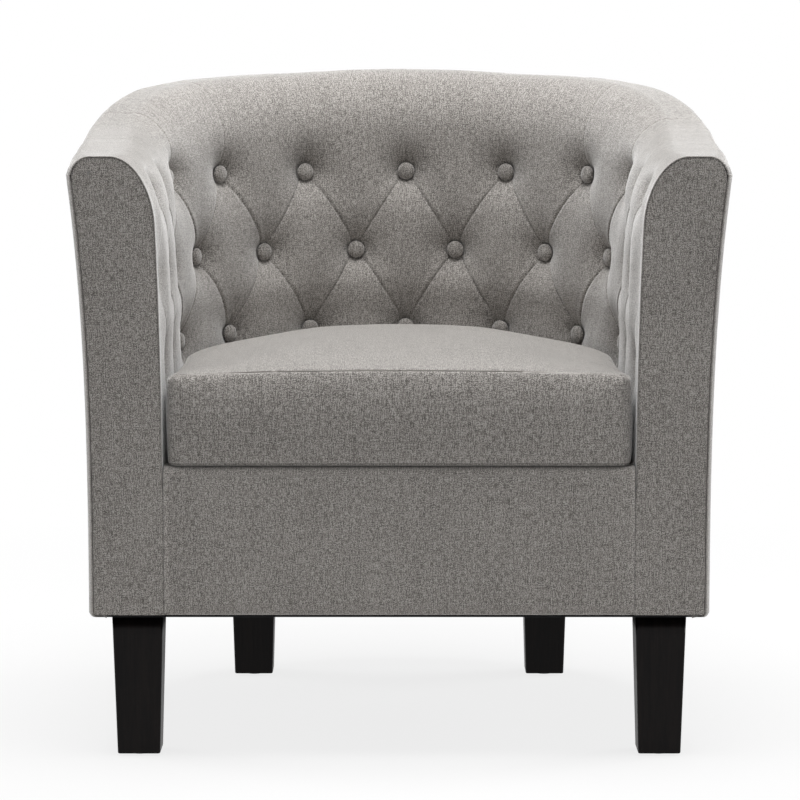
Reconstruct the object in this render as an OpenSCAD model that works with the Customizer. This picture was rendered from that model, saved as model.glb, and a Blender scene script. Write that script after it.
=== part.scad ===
// Tufted club chair: a round-backed tub chair with a button-tufted inside, a loose seat
// cushion on a sprung deck, a plywood frame and four tapered legs. Left and right are as
// seen from the front. All lengths are in millimetres, with the floor at zero height and
// the origin under the middle of the chair.

/* [Chair] */
// Width over the side covers at the foot of the seat box
base_w = 682; // [660:1:700]
// Length of the straight arms, from the front to where the round back starts
arm_depth = 275; // [260:1:300]
// Height of the arms at the front
arm_h = 663; // [652:1:675]
// How much higher the middle of the back is than the arms
back_rise_h = 90; // [78:1:105]
// Height of the underside of the seat box
box_z = 159; // [150:1:165]
// Thickness of the padded wall round the seat
wall_t = 83; // [81:1:86]
// How far the wall has leaned outwards at the lean height
lean = 20; // [14:1:22]
// Height above the seat box at which the wall has leaned out that far
lean_h = 481; // [470:1:500]

/* [Seat] */
// Height of the deck that the cushion lies on
seat_z = 325; // [322:1:330]
// Height of the cushion at its seams
cushion_h = 105; // [90:1:112]
// How much higher the cushion is in the middle than at its seams
crown_h = 20; // [12:1:24]
// Gap between the cushion's sides and the padding of the arms
cushion_gap = 1.2; // [1:0.1:2]
// Thickness of the felt pad on the springs
deck_pad_t = 10; // [8:1:11]

/* [Tufting] */
// Distance between buttons along a row
tuft_pitch = 128; // [124:1:130]
// Height of the lowest row of buttons above the deck
low_row_rise = 107; // [104:1:112]
// Depth of the top row of buttons below the tops of the arms
top_row_drop = 37; // [33:1:40]
// How far the tufting lies to the right of the back's middle
tuft_shift = 8.5; // [0:0.5:12]
// Radius of the round back at which the distance along a row is measured
tuft_r = 280; // [276:1:284]
// Depth of a buttoned pit below the crest of the pillows
tuft_depth = 17; // [14:0.5:17]
// Width of a covered button
button_d = 21.5; // [18:0.5:23]

/* [Legs] */
// Width of a leg at its top
leg_top_w = 56; // [50:1:58]
// Width of a leg at the floor
leg_foot_w = 47; // [40:1:50]
// Distance of a front leg's middle in from the side of the seat box
front_leg_in = 53; // [51:1:59]
// Distance of a front leg's middle behind the front of the arms
front_leg_d = 42; // [40:1:46]
// Distance of a rear leg's middle in from the round back of the seat box
rear_leg_in = 48.8; // [46:0.2:56]
// How far round from the middle of the back a rear leg stands, in degrees
rear_leg_turn = 38.4; // [36:0.2:41]

/* [Frame] */
// Thickness of the plywood
ply_t = 18; // [16:1:20]
// Depth of the top rail under the padding of the rim
rim_pad = 13.5; // [12:0.5:15]
// Diameter of the spring wire
wire_d = 3.5; // [3:0.1:4]
// Number of zigzag springs under the deck
spring_count = 5; // [3:1:6]

/* [Hidden] */

// Clearances: between pieces that lie on each other, and past a face in a cut
fit = 0.3;
over = 1;
// Extra room where facets of unlike length lie side by side
facet_room = 0.65;

// Fabric and finish colours
fabric_color = "#a39d95";
cushion_color = "#aaa49c";
panel_color = "#989189";
leg_color = "#1d1918";
ply_color = "#d3b48a";

// Plan of the wall: straight arms run into a half round, which leans back to its widest
// where the rim's outer edge starts to round over
back_h = arm_h + back_rise_h;
edge_r = 14;
base_r = base_w / 2;
in_r = base_r - wall_t;
depth = arm_depth + base_r + lean_at(back_h - edge_r);
front_y = -depth / 2;
round_y = front_y + arm_depth;
half_arc = tuft_r * PI / 2;
half_len = half_arc + arm_depth;

// Layers of the wall, as distances outwards from its seat-side face
crest = 4;
skin_t = 2.5;
pad_back_t = tuft_depth - crest + skin_t;
foam_in_t = pad_back_t + fit + facet_room;
foam_t = 13;
board_t = 3;
board_in_t = foam_in_t + foam_t + fit;
post_in_t = board_in_t + board_t + 2 * fit;
cover_t = 2.2;
cover_in_t = wall_t - cover_t;
out_board_t = 2.4;
out_board_in_t = cover_in_t - fit - out_board_t;
post_out_t = out_board_in_t - 2 * facet_room;

// Rim of the wall: height along the way from the front of an arm to the back's middle
rim_shares = [0, 0.055, 0.195, 0.49, 0.83, 0.95, 1];
corner_w = 45;
corner_h = 75;
pad_back_below = 41;
knee_h = arm_h - pad_back_below - box_z;
hem_h = 20;
arm_lean_share = 0.45;
full_lean_share = 0.7;

// Tufting: where the rows lie, how deep the folds between buttons are, and how the pleats
// run out
low_row_z = seat_z + low_row_rise;
top_row_z = arm_h - top_row_drop;
row_pitch = (top_row_z - low_row_z) / 2;
row_z = low_row_z + row_pitch;
fold_share = 0.42;
pillow_power = 0.8;
fold_power = 0.75;
pleat_share = 0.2;
pleat_run = 38;
low_pleat_share = 0.3;
front_run = 58;
row_steps = 4;
col_steps = 6;
low_level_share = 0.6;
corner_steps = 4;
level_shares = [0.52, 0.7, 0.83];

// Padded facings on the front of the arms and under the cushion
face_t = 10.5;
panel_margin = 5.5;
panel_round = 3;
panel_crown_w = 18;
frame_y = front_y + face_t + fit;

// Seat box, from the floor upwards
hem_t = 1.4;
hem_w = 16;
base_round = 3.2;
dust_t = 1.3;
dust_z = box_z - fit - dust_t;
base_ring_z = box_z + hem_t + fit;
leg_z = dust_z - fit;
clip_plate_t = 1.2;
clip_r = 3.25;
clip_sink = 0.4;
wire_z_above_ring = clip_plate_t + clip_r - clip_sink;
tie_d = 3;
deck_cover_t = 1.8;
deck_cover_z = seat_z - fit - deck_cover_t;
deck_pad_z = deck_cover_z - fit - deck_pad_t;
tie_z = deck_pad_z - fit - tie_d / 2;
wire_z = tie_z - tie_d / 2 - fit - wire_d / 2;
seat_ring_top = wire_z - wire_z_above_ring;
seat_ring_z = seat_ring_top - ply_t;
post_z = base_ring_z + ply_t;
pad_z = seat_ring_top + fit;
ring_w = 104;
seat_ring_w = 119;
ring_front_w = 50;
ring_joint_turn = 44.25;
ring_out_r = in_r + post_out_t;

// Posts of the frame, in the gaps between columns of buttons
post_column_shares = [0.75, 2.25, 3.75];
arm_post_in_t = pad_back_t + 2 * fit;

// Fasteners
bolt_d = 8;
bolt_in_leg = 36;
block_h = 22;
block_w = 58;
front_block_back = 21;
nut_flange_d = 22;
nut_flange_t = 1.5;
nut_barrel_d = 11;
nut_barrel_h = 14;
bolt_past_nut = 4;
bore_gap = 0.1;
screw_d = 4.5;
screw_head_d = 9;
screw_head_h = 3.2;
screw_in_post = 34;
screw_sink = 0.4;
arm_screw_t = 46;
rail_screw_in = 88;

// Legs and their glides
glide_d = 24;
glide_h = 2.5;
glide_pin_d = 3;
glide_pin_h = 12;
leg_chamfer = 3;

// Springs and deck
spring_half_w = 24;
spring_bend = 6;
spring_loop = 30;
spring_spread = 320;
spring_inset = 12;
spring_sides = 5;
clip_len = 14;
clip_plate_w = 18;
tie_shares = [0.36, 0.68];
tie_over = 30;
deck_gap = 3;
front_return = 40;

// Buttons, their twine and the clasps that hold it
button_h = 4.8;
button_back_h = 7.7;
button_edge = 0.8;
button_tip_r = 0.5;
button_tip_gap = 0.9;
twine_d = 2;
clasp_d = 12;
clasp_t = 1.5;
clasp_gap = 1;

// Cushion
cushion_w = in_r - crest - cushion_gap;
cushion_set = 2;
cushion_y = round_y - cushion_set;
cushion_front_y = front_y + 1.5 * fit;
cushion_z = seat_z;
cushion_top = cushion_z + cushion_h;
cushion_edge = 9;
cushion_corner = 16;
cushion_corner_least = 1;
cushion_pull = 1.5;
cushion_skin = 2;
cushion_mid_z = cushion_z + cushion_h / 2;
crown_reach = 200;
arc_steps = 24;
side_steps = 4;
bend_steps = 3;
front_steps = 8;
zip_slot = 8;
zip_steps = 7;
zip_tape_t = 1.1;
zip_coil_w = 3.6;
zip_coil_t = 0.8;
slider_len = 11;
slider_w = 7;
slider_t = 1.6;
tab_w = 5;
tab_len = 22;
tab_t = 1;
slider_end_gap = 6;

// Blends two values, and eases a share in and out
function mixed(a, b, share) = a + (b - a) * share;
function eased(share) = share * share * (3 - 2 * share);
function clamped(share) = min(1, max(0, share));

// Outward lean of the wall at a height
function lean_at(z) = lean * pow(max(0, z - box_z) / lean_h, 3);

// A smooth curve through evenly spaced shares, level at both ends
function curve(shares, along) =
    let(last = len(shares) - 1)
    let(way = clamped(along) * last)
    let(i = min(floor(way), last - 1))
    let(f = way - i)
    let(before = shares[i == 0 ? 1 : i - 1], from = shares[i])
    let(to = shares[i + 1], after = shares[i + 2 > last ? i : i + 2])
    from + f * (to - before) / 2
        + f * f * (before - 5 * from / 2 + 2 * to - after / 2)
        + f * f * f * (3 * (from - to) + after - before) / 2;

// Places along the wall are measured from the back's middle, to the right, at tuft_r
function along_at(s) = 1 - abs(s) / half_len;
function rim_at(s) = mixed(arm_h, back_h, curve(rim_shares, along_at(s)));
function turn_at(s) = sign(s) * min(abs(s), half_arc) / tuft_r * 180 / PI;
function run_at(s) = max(0, abs(s) - half_arc);

// A point of the chair from its place along the wall, its radius and its height
function spot(s, r, z) =
    [r * sin(turn_at(s)), round_y + r * cos(turn_at(s)) - run_at(s), z];
function wall_spot(s, t, z) = spot(s, in_r + t + lean_at(z), z);

// Heights at which the leaning layers have a row of points
function wall_levels(low, high) =
    let(knees = [for (share = level_shares) box_z + knee_h * share])
    let(top = knees[len(knees) - 1])
    concat([low], knees, [for (share = [1, 2, 3]) top + (high - top) * share / 3]);

// Places along the wall at which the layers have a section
least_share = 0.3;
function stations(from, to, step, shift = 0) =
    let(first = ceil((from - shift) / step + least_share))
    let(last = floor((to - shift) / step - least_share))
    concat([from], [for (k = [first : last]) k * step + shift], [to]);
fine_step = tuft_pitch / col_steps;
coarse_step = 2 * fine_step;
function whole_stations(reach) = concat(
    stations(-reach, -half_arc, coarse_step),
    [for (s = stations(-half_arc, half_arc, coarse_step))
        if (abs(s) < half_arc - coarse_step / 100) s],
    stations(half_arc, reach, coarse_step));

// Triangles between two rows of points, first given as index lists
function strip(a, b) = [for (i = [0 : len(a) - 2], pair = [0, 1])
    pair == 0 ? [a[i], a[i + 1], b[i + 1]] : [a[i], b[i + 1], b[i]]];

// Triangles that close the end between a front row and a back row of unlike length
function end_strip(a, b, i = 0, j = 0) =
    let(a_done = i == len(a) - 1, b_done = j == len(b) - 1)
    a_done && b_done ? []
    : b_done || (!a_done && (i + 1) / (len(a) - 1) <= (j + 1) / (len(b) - 1))
        ? concat([[a[i], a[i + 1], b[j]]], end_strip(a, b, i + 1, j))
        : concat([[a[i], b[j + 1], b[j]]], end_strip(a, b, i, j + 1));

function flipped(faces) = [for (face = faces) [face[2], face[1], face[0]]];
function span(from, count) = [for (i = [0 : count - 1]) from + i];

// A closed sheet between a front grid and a back grid of points, section by section
module sheet(front, back) {
    rows = len(front);
    nf = len(front[0]);
    nb = len(back[0]);
    base = rows * nf;
    f = [for (i = [0 : rows - 1]) span(i * nf, nf)];
    b = [for (i = [0 : rows - 1]) span(base + i * nb, nb)];
    front_faces = [for (i = [0 : rows - 2]) each strip(f[i], f[i + 1])];
    back_faces = [for (i = [0 : rows - 2]) each strip(b[i + 1], b[i])];
    low = strip([for (i = [0 : rows - 1]) f[i][0]], [for (i = [0 : rows - 1]) b[i][0]]);
    high = strip([for (i = [0 : rows - 1]) b[i][nb - 1]],
        [for (i = [0 : rows - 1]) f[i][nf - 1]]);
    ends = concat(flipped(end_strip(f[0], b[0])), end_strip(f[rows - 1], b[rows - 1]));
    points = concat([for (row = front) each row], [for (row = back) each row]);
    polyhedron(points, concat(front_faces, back_faces, low, high, ends));
}

// A closed solid through rings of equal length whose ends are closed by fans
module loft(rings) {
    n = len(rings[0]);
    last = len(rings) - 1;
    around = function(i) [for (k = [0 : n]) i * n + k % n];
    sides = [for (i = [0 : last - 1]) each strip(around(i), around(i + 1))];
    lids = concat([for (k = [1 : n - 2]) [0, k + 1, k]],
        [for (k = [1 : n - 2]) [last * n, last * n + k, last * n + k + 1]]);
    polyhedron([for (ring = rings) each ring], flipped(concat(sides, lids)));
}

// Rounded inner corner of the rim, as its angle and its distance outwards
function corner_turn(s, z) = asin(clamped((z - rim_at(s) + corner_h) / corner_h));
function corner_t(s, z) = corner_w * (1 - cos(corner_turn(s, z)));

// The seat-side face leans less at the arms' fronts than the wall does
function seat_lean(s, z) =
    lean_at(z) * mixed(arm_lean_share, 1, eased(clamped(along_at(s) / full_lean_share)));

// Depth of the tufting below the crest: folds run from button to button in diamonds, then
// straight up over the rim and straight down behind the cushion
function dip_at(s, z, t) =
    let(col = (s - tuft_shift) / tuft_pitch)
    let(row = clamped((z - low_row_z) / (top_row_z - low_row_z)))
    let(a = abs(sin(180 * (col + row))), b = abs(sin(180 * (col - row))))
    let(pillow = pow(a * b, pillow_power), fold = pow(a + b - a * b, fold_power))
    let(above = clamped((max(0, z - top_row_z) + t) / pleat_run))
    let(below = clamped((low_row_z - z) / (low_row_z - pad_z)))
    let(front = clamped((half_len - face_t - abs(s)) / front_run))
    let(keep = z > row_z ? mixed(1, pleat_share, eased(above))
        : mixed(1, low_pleat_share, eased(below)))
    tuft_depth * eased(front) * keep
        * (1 - fold_share * pillow - (1 - fold_share) * fold);
function crest_at(s, turn) =
    crest * cos(turn) * eased(clamped((half_len - face_t - abs(s)) / front_run));

// Direction out of the padding at a turn of the rim's inner corner, as outwards and up
function face_way(turn) =
    let(way = [-cos(turn) / corner_w, sin(turn) / corner_h]) way / norm(way);
function face_point(s, z, turn) =
    let(t = corner_w * (1 - cos(turn)), way = face_way(turn))
    let(rise = crest_at(s, turn) - dip_at(s, z, turn == 0 ? 0 : t))
    [in_r + t + seat_lean(s, z) + way[0] * rise, z + way[1] * rise];

// Heights of the padding's rows of points up to the top row of buttons
row_levels = concat([pad_z, mixed(pad_z, low_row_z, low_level_share)],
    [for (k = [0 : 2 * row_steps]) low_row_z + row_pitch * k / row_steps]);

// Section of the tufted cover: seat side first, over the rim to the outside hem
function cover_front(s) =
    let(rim = rim_at(s), out_r = in_r + wall_t)
    concat(
        [for (z = row_levels)
            let(p = face_point(s, z, corner_turn(s, z))) spot(s, p[0], p[1])],
        [for (k = [1 : corner_steps])
            let(z = mixed(top_row_z, rim, sin(90 * k / corner_steps)))
            let(p = face_point(s, z, corner_turn(s, z))) spot(s, p[0], p[1])],
        [for (k = [0 : 2])
            let(z = rim - edge_r * (1 - cos(45 * k)))
            spot(s, out_r - edge_r * (1 - sin(45 * k)) + lean_at(z), z)],
        [wall_spot(s, wall_t, rim - hem_h)]);
function cover_back(s) =
    let(rim = rim_at(s))
    concat(
        [for (z = wall_levels(pad_z, rim - pad_back_below)) wall_spot(s, pad_back_t, z)],
        [wall_spot(s, board_in_t, rim - rim_pad),
            wall_spot(s, post_out_t, rim - rim_pad),
            wall_spot(s, cover_in_t, rim - hem_h)]);
module tufted_cover(from, to) {
    places = stations(from, to, fine_step, tuft_shift);
    color(fabric_color)
        sheet([for (s = places) cover_front(s)], [for (s = places) cover_back(s)]);
}
cover_reach = half_len - face_t - fit;
module inside_arm_left() { tufted_cover(-cover_reach, -half_arc - fit / 2); }
module inside_back() { tufted_cover(-half_arc + fit / 2, half_arc - fit / 2); }
module inside_arm_right() { tufted_cover(half_arc + fit / 2, cover_reach); }

// A plain layer of the wall between two distances outwards, from a height to below the rim
module wall_layer(t, thick, low, below_rim, reach) {
    places = whole_stations(reach);
    sheet(
        [for (s = places) [for (z = wall_levels(low, rim_at(s) - below_rim))
            wall_spot(s, t, z)]],
        [for (s = places) [for (z = wall_levels(low, rim_at(s) - below_rim))
            wall_spot(s, t + thick, z)]]);
}
layer_reach = half_len - face_t - ply_t - 3 * fit;
foam_below = pad_back_below + fit;
module inside_foam() {
    color("#e9e2c4") wall_layer(foam_in_t, foam_t, pad_z, foam_below, layer_reach);
}
module inside_board() {
    color("#b08d62") wall_layer(board_in_t, board_t, pad_z, foam_below, layer_reach);
}
module outside_board() {
    color("#b08d62")
        wall_layer(out_board_in_t, out_board_t, post_z, hem_h + hem_w, cover_reach);
}

// A strip that follows the rim, between two distances outwards and two depths below it
module rim_strip(t, thick, low, high, reach) {
    places = whole_stations(reach);
    sheet(
        [for (s = places) [wall_spot(s, t, rim_at(s) - low),
            wall_spot(s, t, rim_at(s) - high)]],
        [for (s = places) [wall_spot(s, t + thick, rim_at(s) - low),
            wall_spot(s, t + thick, rim_at(s) - high)]]);
}
rail_below = rim_pad + fit + ply_t;
module top_rail() {
    color(ply_color)
        rim_strip(post_in_t, post_out_t - post_in_t, rail_below, rim_pad + 2 * fit,
            layer_reach);
}
module tack_strip() {
    color("#8f7f68")
        rim_strip(out_board_in_t, out_board_t, hem_h + hem_w - fit, hem_h + fit,
            cover_reach);
}

// Outside cover: one sheet from under the rim's hem to a turned hem under the seat box
cover_reach_out = half_len - panel_round;
function out_cover_row(s, low, t) =
    [for (z = wall_levels(low, rim_at(s) - hem_h - fit)) wall_spot(s, t, z)];
module outside_cover() {
    places = whole_stations(cover_reach_out);
    bend_in = base_round * (1 - sin(45));
    color(fabric_color)
        sheet(
            [for (s = places) concat(
                [wall_spot(s, wall_t - hem_w, box_z + hem_t),
                    wall_spot(s, cover_in_t - base_round, box_z + hem_t),
                    wall_spot(s, cover_in_t - bend_in, box_z + hem_t + bend_in)],
                out_cover_row(s, box_z + hem_t + base_round, cover_in_t))],
            [for (s = places) concat(
                [wall_spot(s, wall_t - hem_w, box_z),
                    wall_spot(s, wall_t - base_round, box_z),
                    wall_spot(s, wall_t - bend_in, box_z + bend_in)],
                out_cover_row(s, box_z + base_round, wall_t))]);
}

// Padded facing on the front of an arm, with the outline of the wall's end
function panel_out_r(z) =
    let(up = clamped((z - arm_h + edge_r) / edge_r))
    in_r + wall_t - panel_margin - edge_r * (1 - sqrt(1 - up * up)) + lean_at(z);
function panel_in_r(z) =
    in_r + fit + corner_t(half_len, z) + arm_lean_share * lean_at(z);
function panel_ring(z, sink) =
    let(a = panel_in_r(z) + sink, b = panel_out_r(z) - sink, y = front_y + sink)
    [[a, front_y + face_t, z], [a, y + panel_round, z],
        [a + panel_round, y + panel_round / 4, z], [a + panel_crown_w, y, z],
        [b - panel_crown_w, y, z], [b - panel_round, y + panel_round / 4, z],
        [b, y + panel_round, z], [b, front_y + face_t, z]];
module arm_panel() {
    low = box_z + hem_t + fit;
    rise = arm_h - edge_r;
    levels = concat([low + panel_round], wall_levels(low + 2 * panel_round, rise),
        [for (turn = [25, 50, 68]) rise + edge_r * sin(turn)]);
    color(panel_color)
        loft(concat([panel_ring(low, panel_round)],
            [for (z = levels) panel_ring(z, 0)],
            [panel_ring(arm_h - panel_round / 6, panel_round)]));
}
module arm_panel_right() { arm_panel(); }
module arm_panel_left() { mirror([1, 0, 0]) arm_panel(); }

// Padded cover of the front rail, whose top edge turns back over the deck pad
module front_rail_cover() {
    half_w = in_r - fit;
    low = box_z + hem_t + fit;
    high = seat_z - fit;
    outline = concat(
        [[face_t, low], [base_round, low]],
        [for (turn = [30, 60])
            [base_round * (1 - sin(turn)), low + base_round * (1 - cos(turn))]],
        [[0, low + base_round]],
        [for (turn = [0, 22.5, 45, 67.5, 90])
            [face_t * (1 - cos(turn)), high - face_t * (1 - sin(turn))]]);
    color(panel_color) {
        translate([-half_w, front_y, 0])
            rotate([90, 0, 90])
                linear_extrude(2 * half_w) polygon(outline);
        translate([-deck_r, front_y + face_t - over, deck_cover_z])
            cube([2 * deck_r, front_return - face_t + over, high - deck_cover_z]);
    }
}

// Flat pieces with the plan of the wall: straight sides and a half round back
module plan(r, front) {
    translate([0, round_y])
        intersection() {
            circle(r, $fn = 72);
            translate([-r, -over]) square([2 * r, r + over]);
        }
    translate([-r, front]) square([2 * r, round_y - front]);
}
module plan_ring(out_r, ring, front, front_ring) {
    difference() {
        plan(out_r, front);
        plan(out_r - ring, front + front_ring);
    }
}

// Carries a child to a place on the wall, with its own X axis pointing outwards
module at_place(s, r) {
    point = spot(s, r, 0);
    translate(point) rotate(90 - turn_at(s)) children();
}
post_places = [for (side = [-1, 1], share = post_column_shares) side * share * tuft_pitch];
post_mid_r = in_r + (post_in_t + post_out_t) / 2;
front_leg_x = base_r - front_leg_in;
rear_leg_r = base_r - rear_leg_in;
rear_leg_x = rear_leg_r * sin(rear_leg_turn);
rear_leg_d = arm_depth + rear_leg_r * cos(rear_leg_turn);
rail_screw_x = front_leg_x - rail_screw_in;
leg_places = [[-front_leg_x, front_leg_d], [front_leg_x, front_leg_d],
    [-rear_leg_x, rear_leg_d], [rear_leg_x, rear_leg_d]];
module at_legs() {
    for (place = leg_places)
        translate([place[0], front_y + place[1]]) children();
}
arm_screw_places = [for (side = [-1, 1])
    [side * (in_r + arm_screw_t), frame_y + ply_t / 2]];
module screw_bore(length) {
    translate([0, 0, -over]) cylinder(d = screw_d + 2 * bore_gap, h = length + over, $fn = 16);
}
module screw_shape(low, length, room) {
    head_r = screw_head_d / 2 + room;
    shank_r = screw_d / 2 + room;
    rotate_extrude($fn = 16)
        polygon([[0, low], [head_r, low], [head_r, screw_sink],
            [shank_r, screw_sink + screw_head_h], [shank_r, length], [0, length]]);
}
module screw_seat() { screw_shape(-over, ply_t + over, bore_gap); }
module at_base_screws() {
    for (s = post_places) at_place(s, post_mid_r) children();
    for (side = [-1, 1])
        translate([side * rail_screw_x, frame_y + ply_t / 2]) children();
}
module at_seat_screws() {
    for (s = post_places) at_place(s, post_mid_r) children();
    for (place = arm_screw_places) translate(place) children();
}

// Legs: square tapered blocks of dark wood, each bored for its bolt and its glide
module leg() {
    foot = leg_foot_w / 2;
    top = leg_top_w / 2;
    height = leg_z - glide_h;
    ring = function(w, z) let(c = w - leg_chamfer)
        [[w, -c, z], [w, c, z], [c, w, z], [-c, w, z], [-w, c, z], [-w, -c, z],
            [-c, -w, z], [c, -w, z]];
    color(leg_color)
        difference() {
            loft([ring(foot, glide_h), ring(top, leg_z)]);
            translate([0, 0, leg_z - bolt_in_leg])
                cylinder(d = bolt_d + 2 * bore_gap, h = bolt_in_leg + over, $fn = 24);
            translate([0, 0, glide_h - over])
                cylinder(d = glide_pin_d + 2 * bore_gap, h = glide_pin_h + fit + over, $fn = 24);
        }
}
module leg_at(i) { translate([leg_places[i][0], front_y + leg_places[i][1]]) leg(); }
module leg_front_left() { leg_at(0); }
module leg_front_right() { leg_at(1); }
module leg_rear_left() { leg_at(2); }
module leg_rear_right() { leg_at(3); }
module foot_glides() {
    color("#3a3a3c")
        at_legs() {
            cylinder(d = glide_d, h = glide_h, $fn = 24);
            cylinder(d = glide_pin_d, h = glide_h + glide_pin_h, $fn = 24);
        }
}

// Bolts through the bottom of the box into nuts on the leg blocks
block_top = post_z + fit + block_h;
module hanger_bolts() {
    color("#a7a9ab")
        at_legs()
            translate([0, 0, leg_z - bolt_in_leg + fit])
                cylinder(d = bolt_d, $fn = 24,
                    h = block_top + nut_flange_t + bolt_past_nut - leg_z + bolt_in_leg);
}
module tee_nuts() {
    color("#b9bbbd")
        at_legs()
            difference() {
                union() {
                    translate([0, 0, block_top + fit])
                        cylinder(d = nut_flange_d, h = nut_flange_t, $fn = 24);
                    translate([0, 0, block_top + fit - nut_barrel_h])
                        cylinder(d = nut_barrel_d, h = nut_barrel_h + nut_flange_t / 2, $fn = 24);
                }
                translate([0, 0, block_top - nut_barrel_h - over])
                    cylinder(d = bolt_d + 2 * bore_gap, h = nut_barrel_h + nut_flange_t + 2 * over,
                        $fn = 24);
            }
}
module leg_blocks() {
    turns = [0, 0, -1, 1];
    color(ply_color)
        for (i = [0 : len(leg_places) - 1]) {
            turn = turns[i] * rear_leg_turn;
            shift = turns[i] == 0 ? front_block_back : 0;
            translate([leg_places[i][0], front_y + leg_places[i][1], post_z + fit])
                difference() {
                    rotate(-turn)
                        translate([-block_w / 2, shift - block_w / 2, 0])
                            cube([block_w, block_w, block_h]);
                    translate([0, 0, -over])
                        cylinder(d = nut_barrel_d + 2 * bore_gap, h = block_h + 2 * over, $fn = 24);
                }
        }
}
module dust_cover() {
    inset = wall_t - hem_w / 2;
    color("#26262a")
        difference() {
            translate([0, 0, dust_z])
                linear_extrude(dust_t) plan(in_r + inset, front_y + hem_w / 2);
            at_legs()
                translate([0, 0, dust_z - over])
                    cylinder(d = bolt_d + 4 * bore_gap, h = dust_t + 2 * over, $fn = 24);
        }
}

// Frame: a ring under the box and a ring under the deck, with posts and a rail between
module base_ring() {
    color(ply_color)
        difference() {
            translate([0, 0, base_ring_z])
                linear_extrude(ply_t) plan_ring(ring_out_r, ring_w, frame_y, ring_w);
            at_legs()
                translate([0, 0, base_ring_z - over])
                    cylinder(d = nut_barrel_d + 2 * bore_gap, h = ply_t + 2 * over, $fn = 24);
            translate([0, 0, base_ring_z]) at_base_screws() screw_seat();
        }
}
// The deck's ring is joined from a front strip, two sides and a round back
module seat_ring_plan() { plan_ring(ring_out_r, seat_ring_w, frame_y, ring_front_w); }
module back_sector(shift) {
    far = 2 * ring_out_r;
    apex = round_y - shift;
    x = far * sin(ring_joint_turn);
    y = apex + far * cos(ring_joint_turn);
    polygon([[0, apex], [x, y], [-x, y]]);
}
module seat_ring_piece() {
    color(ply_color)
        difference() {
            translate([0, 0, seat_ring_z]) linear_extrude(ply_t) children();
            translate([0, 0, seat_ring_z]) at_seat_screws() screw_seat();
        }
}
module seat_ring_front() {
    seat_ring_piece()
        translate([-ring_out_r, frame_y]) square([2 * ring_out_r, ring_front_w]);
}
module seat_ring_back() {
    seat_ring_piece() intersection() {
        seat_ring_plan();
        back_sector(0);
    }
}
module seat_ring_side(x) {
    front = frame_y + ring_front_w + fit;
    seat_ring_piece()
        difference() {
            intersection() {
                seat_ring_plan();
                translate([x, front]) square([ring_out_r, round_y + ring_out_r - front]);
            }
            back_sector(fit / sin(ring_joint_turn));
        }
}
module seat_ring_left() { seat_ring_side(-ring_out_r); }
module seat_ring_right() { seat_ring_side(0); }
lower_top = seat_ring_z - fit;
module front_rail() {
    low = post_z + fit;
    color(ply_color)
        difference() {
            translate([-ring_out_r, frame_y, low])
                cube([2 * ring_out_r, ply_t, lower_top - low]);
            translate([0, 0, low])
                for (side = [-1, 1])
                    translate([side * rail_screw_x, frame_y + ply_t / 2])
                        screw_bore(screw_in_post);
        }
}
module lower_posts() {
    low = post_z + fit;
    color(ply_color)
        for (s = post_places)
            at_place(s, in_r)
                difference() {
                    translate([post_in_t, -ply_t / 2, low])
                        cube([post_out_t - post_in_t, ply_t, lower_top - low]);
                    translate([post_mid_r - in_r, 0, low]) screw_bore(screw_in_post);
                }
}
module screw() { screw_shape(0, screw_in_post + ply_t - fit, 0); }
module frame_screws() {
    color("#8b8d90") {
        translate([0, 0, base_ring_z]) at_base_screws() screw();
        translate([0, 0, seat_ring_z]) at_seat_screws() screw();
    }
}

// A post of the wall: an upright plate whose edges follow the lean
module post(s) {
    half = ply_t / 2 * tuft_r / in_r;
    high = min(rim_at(s - half), rim_at(s + half), rim_at(s)) - rail_below - fit;
    levels = wall_levels(pad_z, high);
    edge = [for (z = levels) [post_in_t + fit + lean_at(z), z]];
    back = [for (i = [len(levels) - 1 : -1 : 0])
        [post_out_t + lean_at(levels[i]), levels[i]]];
    color(ply_color)
        at_place(s, in_r)
            difference() {
                translate([0, ply_t / 2, 0])
                    rotate([90, 0, 0]) linear_extrude(ply_t) polygon(concat(edge, back));
                translate([post_mid_r - in_r, 0, pad_z]) screw_bore(screw_in_post);
            }
}
module back_post_1() { post(post_places[1]); }
module back_post_2() { post(post_places[0]); }
module back_post_3() { post(post_places[3]); }
module back_post_4() { post(post_places[4]); }
module arm_mid_post_left() { post(post_places[2]); }
module arm_mid_post_right() { post(post_places[5]); }

// The plate at the front of an arm, cut to the outline of the padding over it
module arm_post() {
    high = arm_h - rim_pad - 2 * fit;
    levels = wall_levels(pad_z, arm_h - pad_back_below);
    edge = [for (z = levels) [in_r + arm_post_in_t + lean_at(z), z]];
    back = [for (i = [len(levels) - 1 : -1 : 0])
        [in_r + post_out_t - fit + lean_at(levels[i]), levels[i]]];
    top = [[in_r + board_in_t + fit + lean_at(high), high],
        [in_r + post_out_t - fit + lean_at(high), high]];
    color(ply_color)
        difference() {
            translate([0, frame_y + ply_t, 0])
                rotate([90, 0, 0])
                    linear_extrude(ply_t) polygon(concat(edge, top, back));
            translate([in_r + arm_screw_t, frame_y + ply_t / 2, pad_z])
                screw_bore(screw_in_post);
        }
}
module arm_post_right() { arm_post(); }
module arm_post_left() { mirror([1, 0, 0]) arm_post(); }

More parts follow.
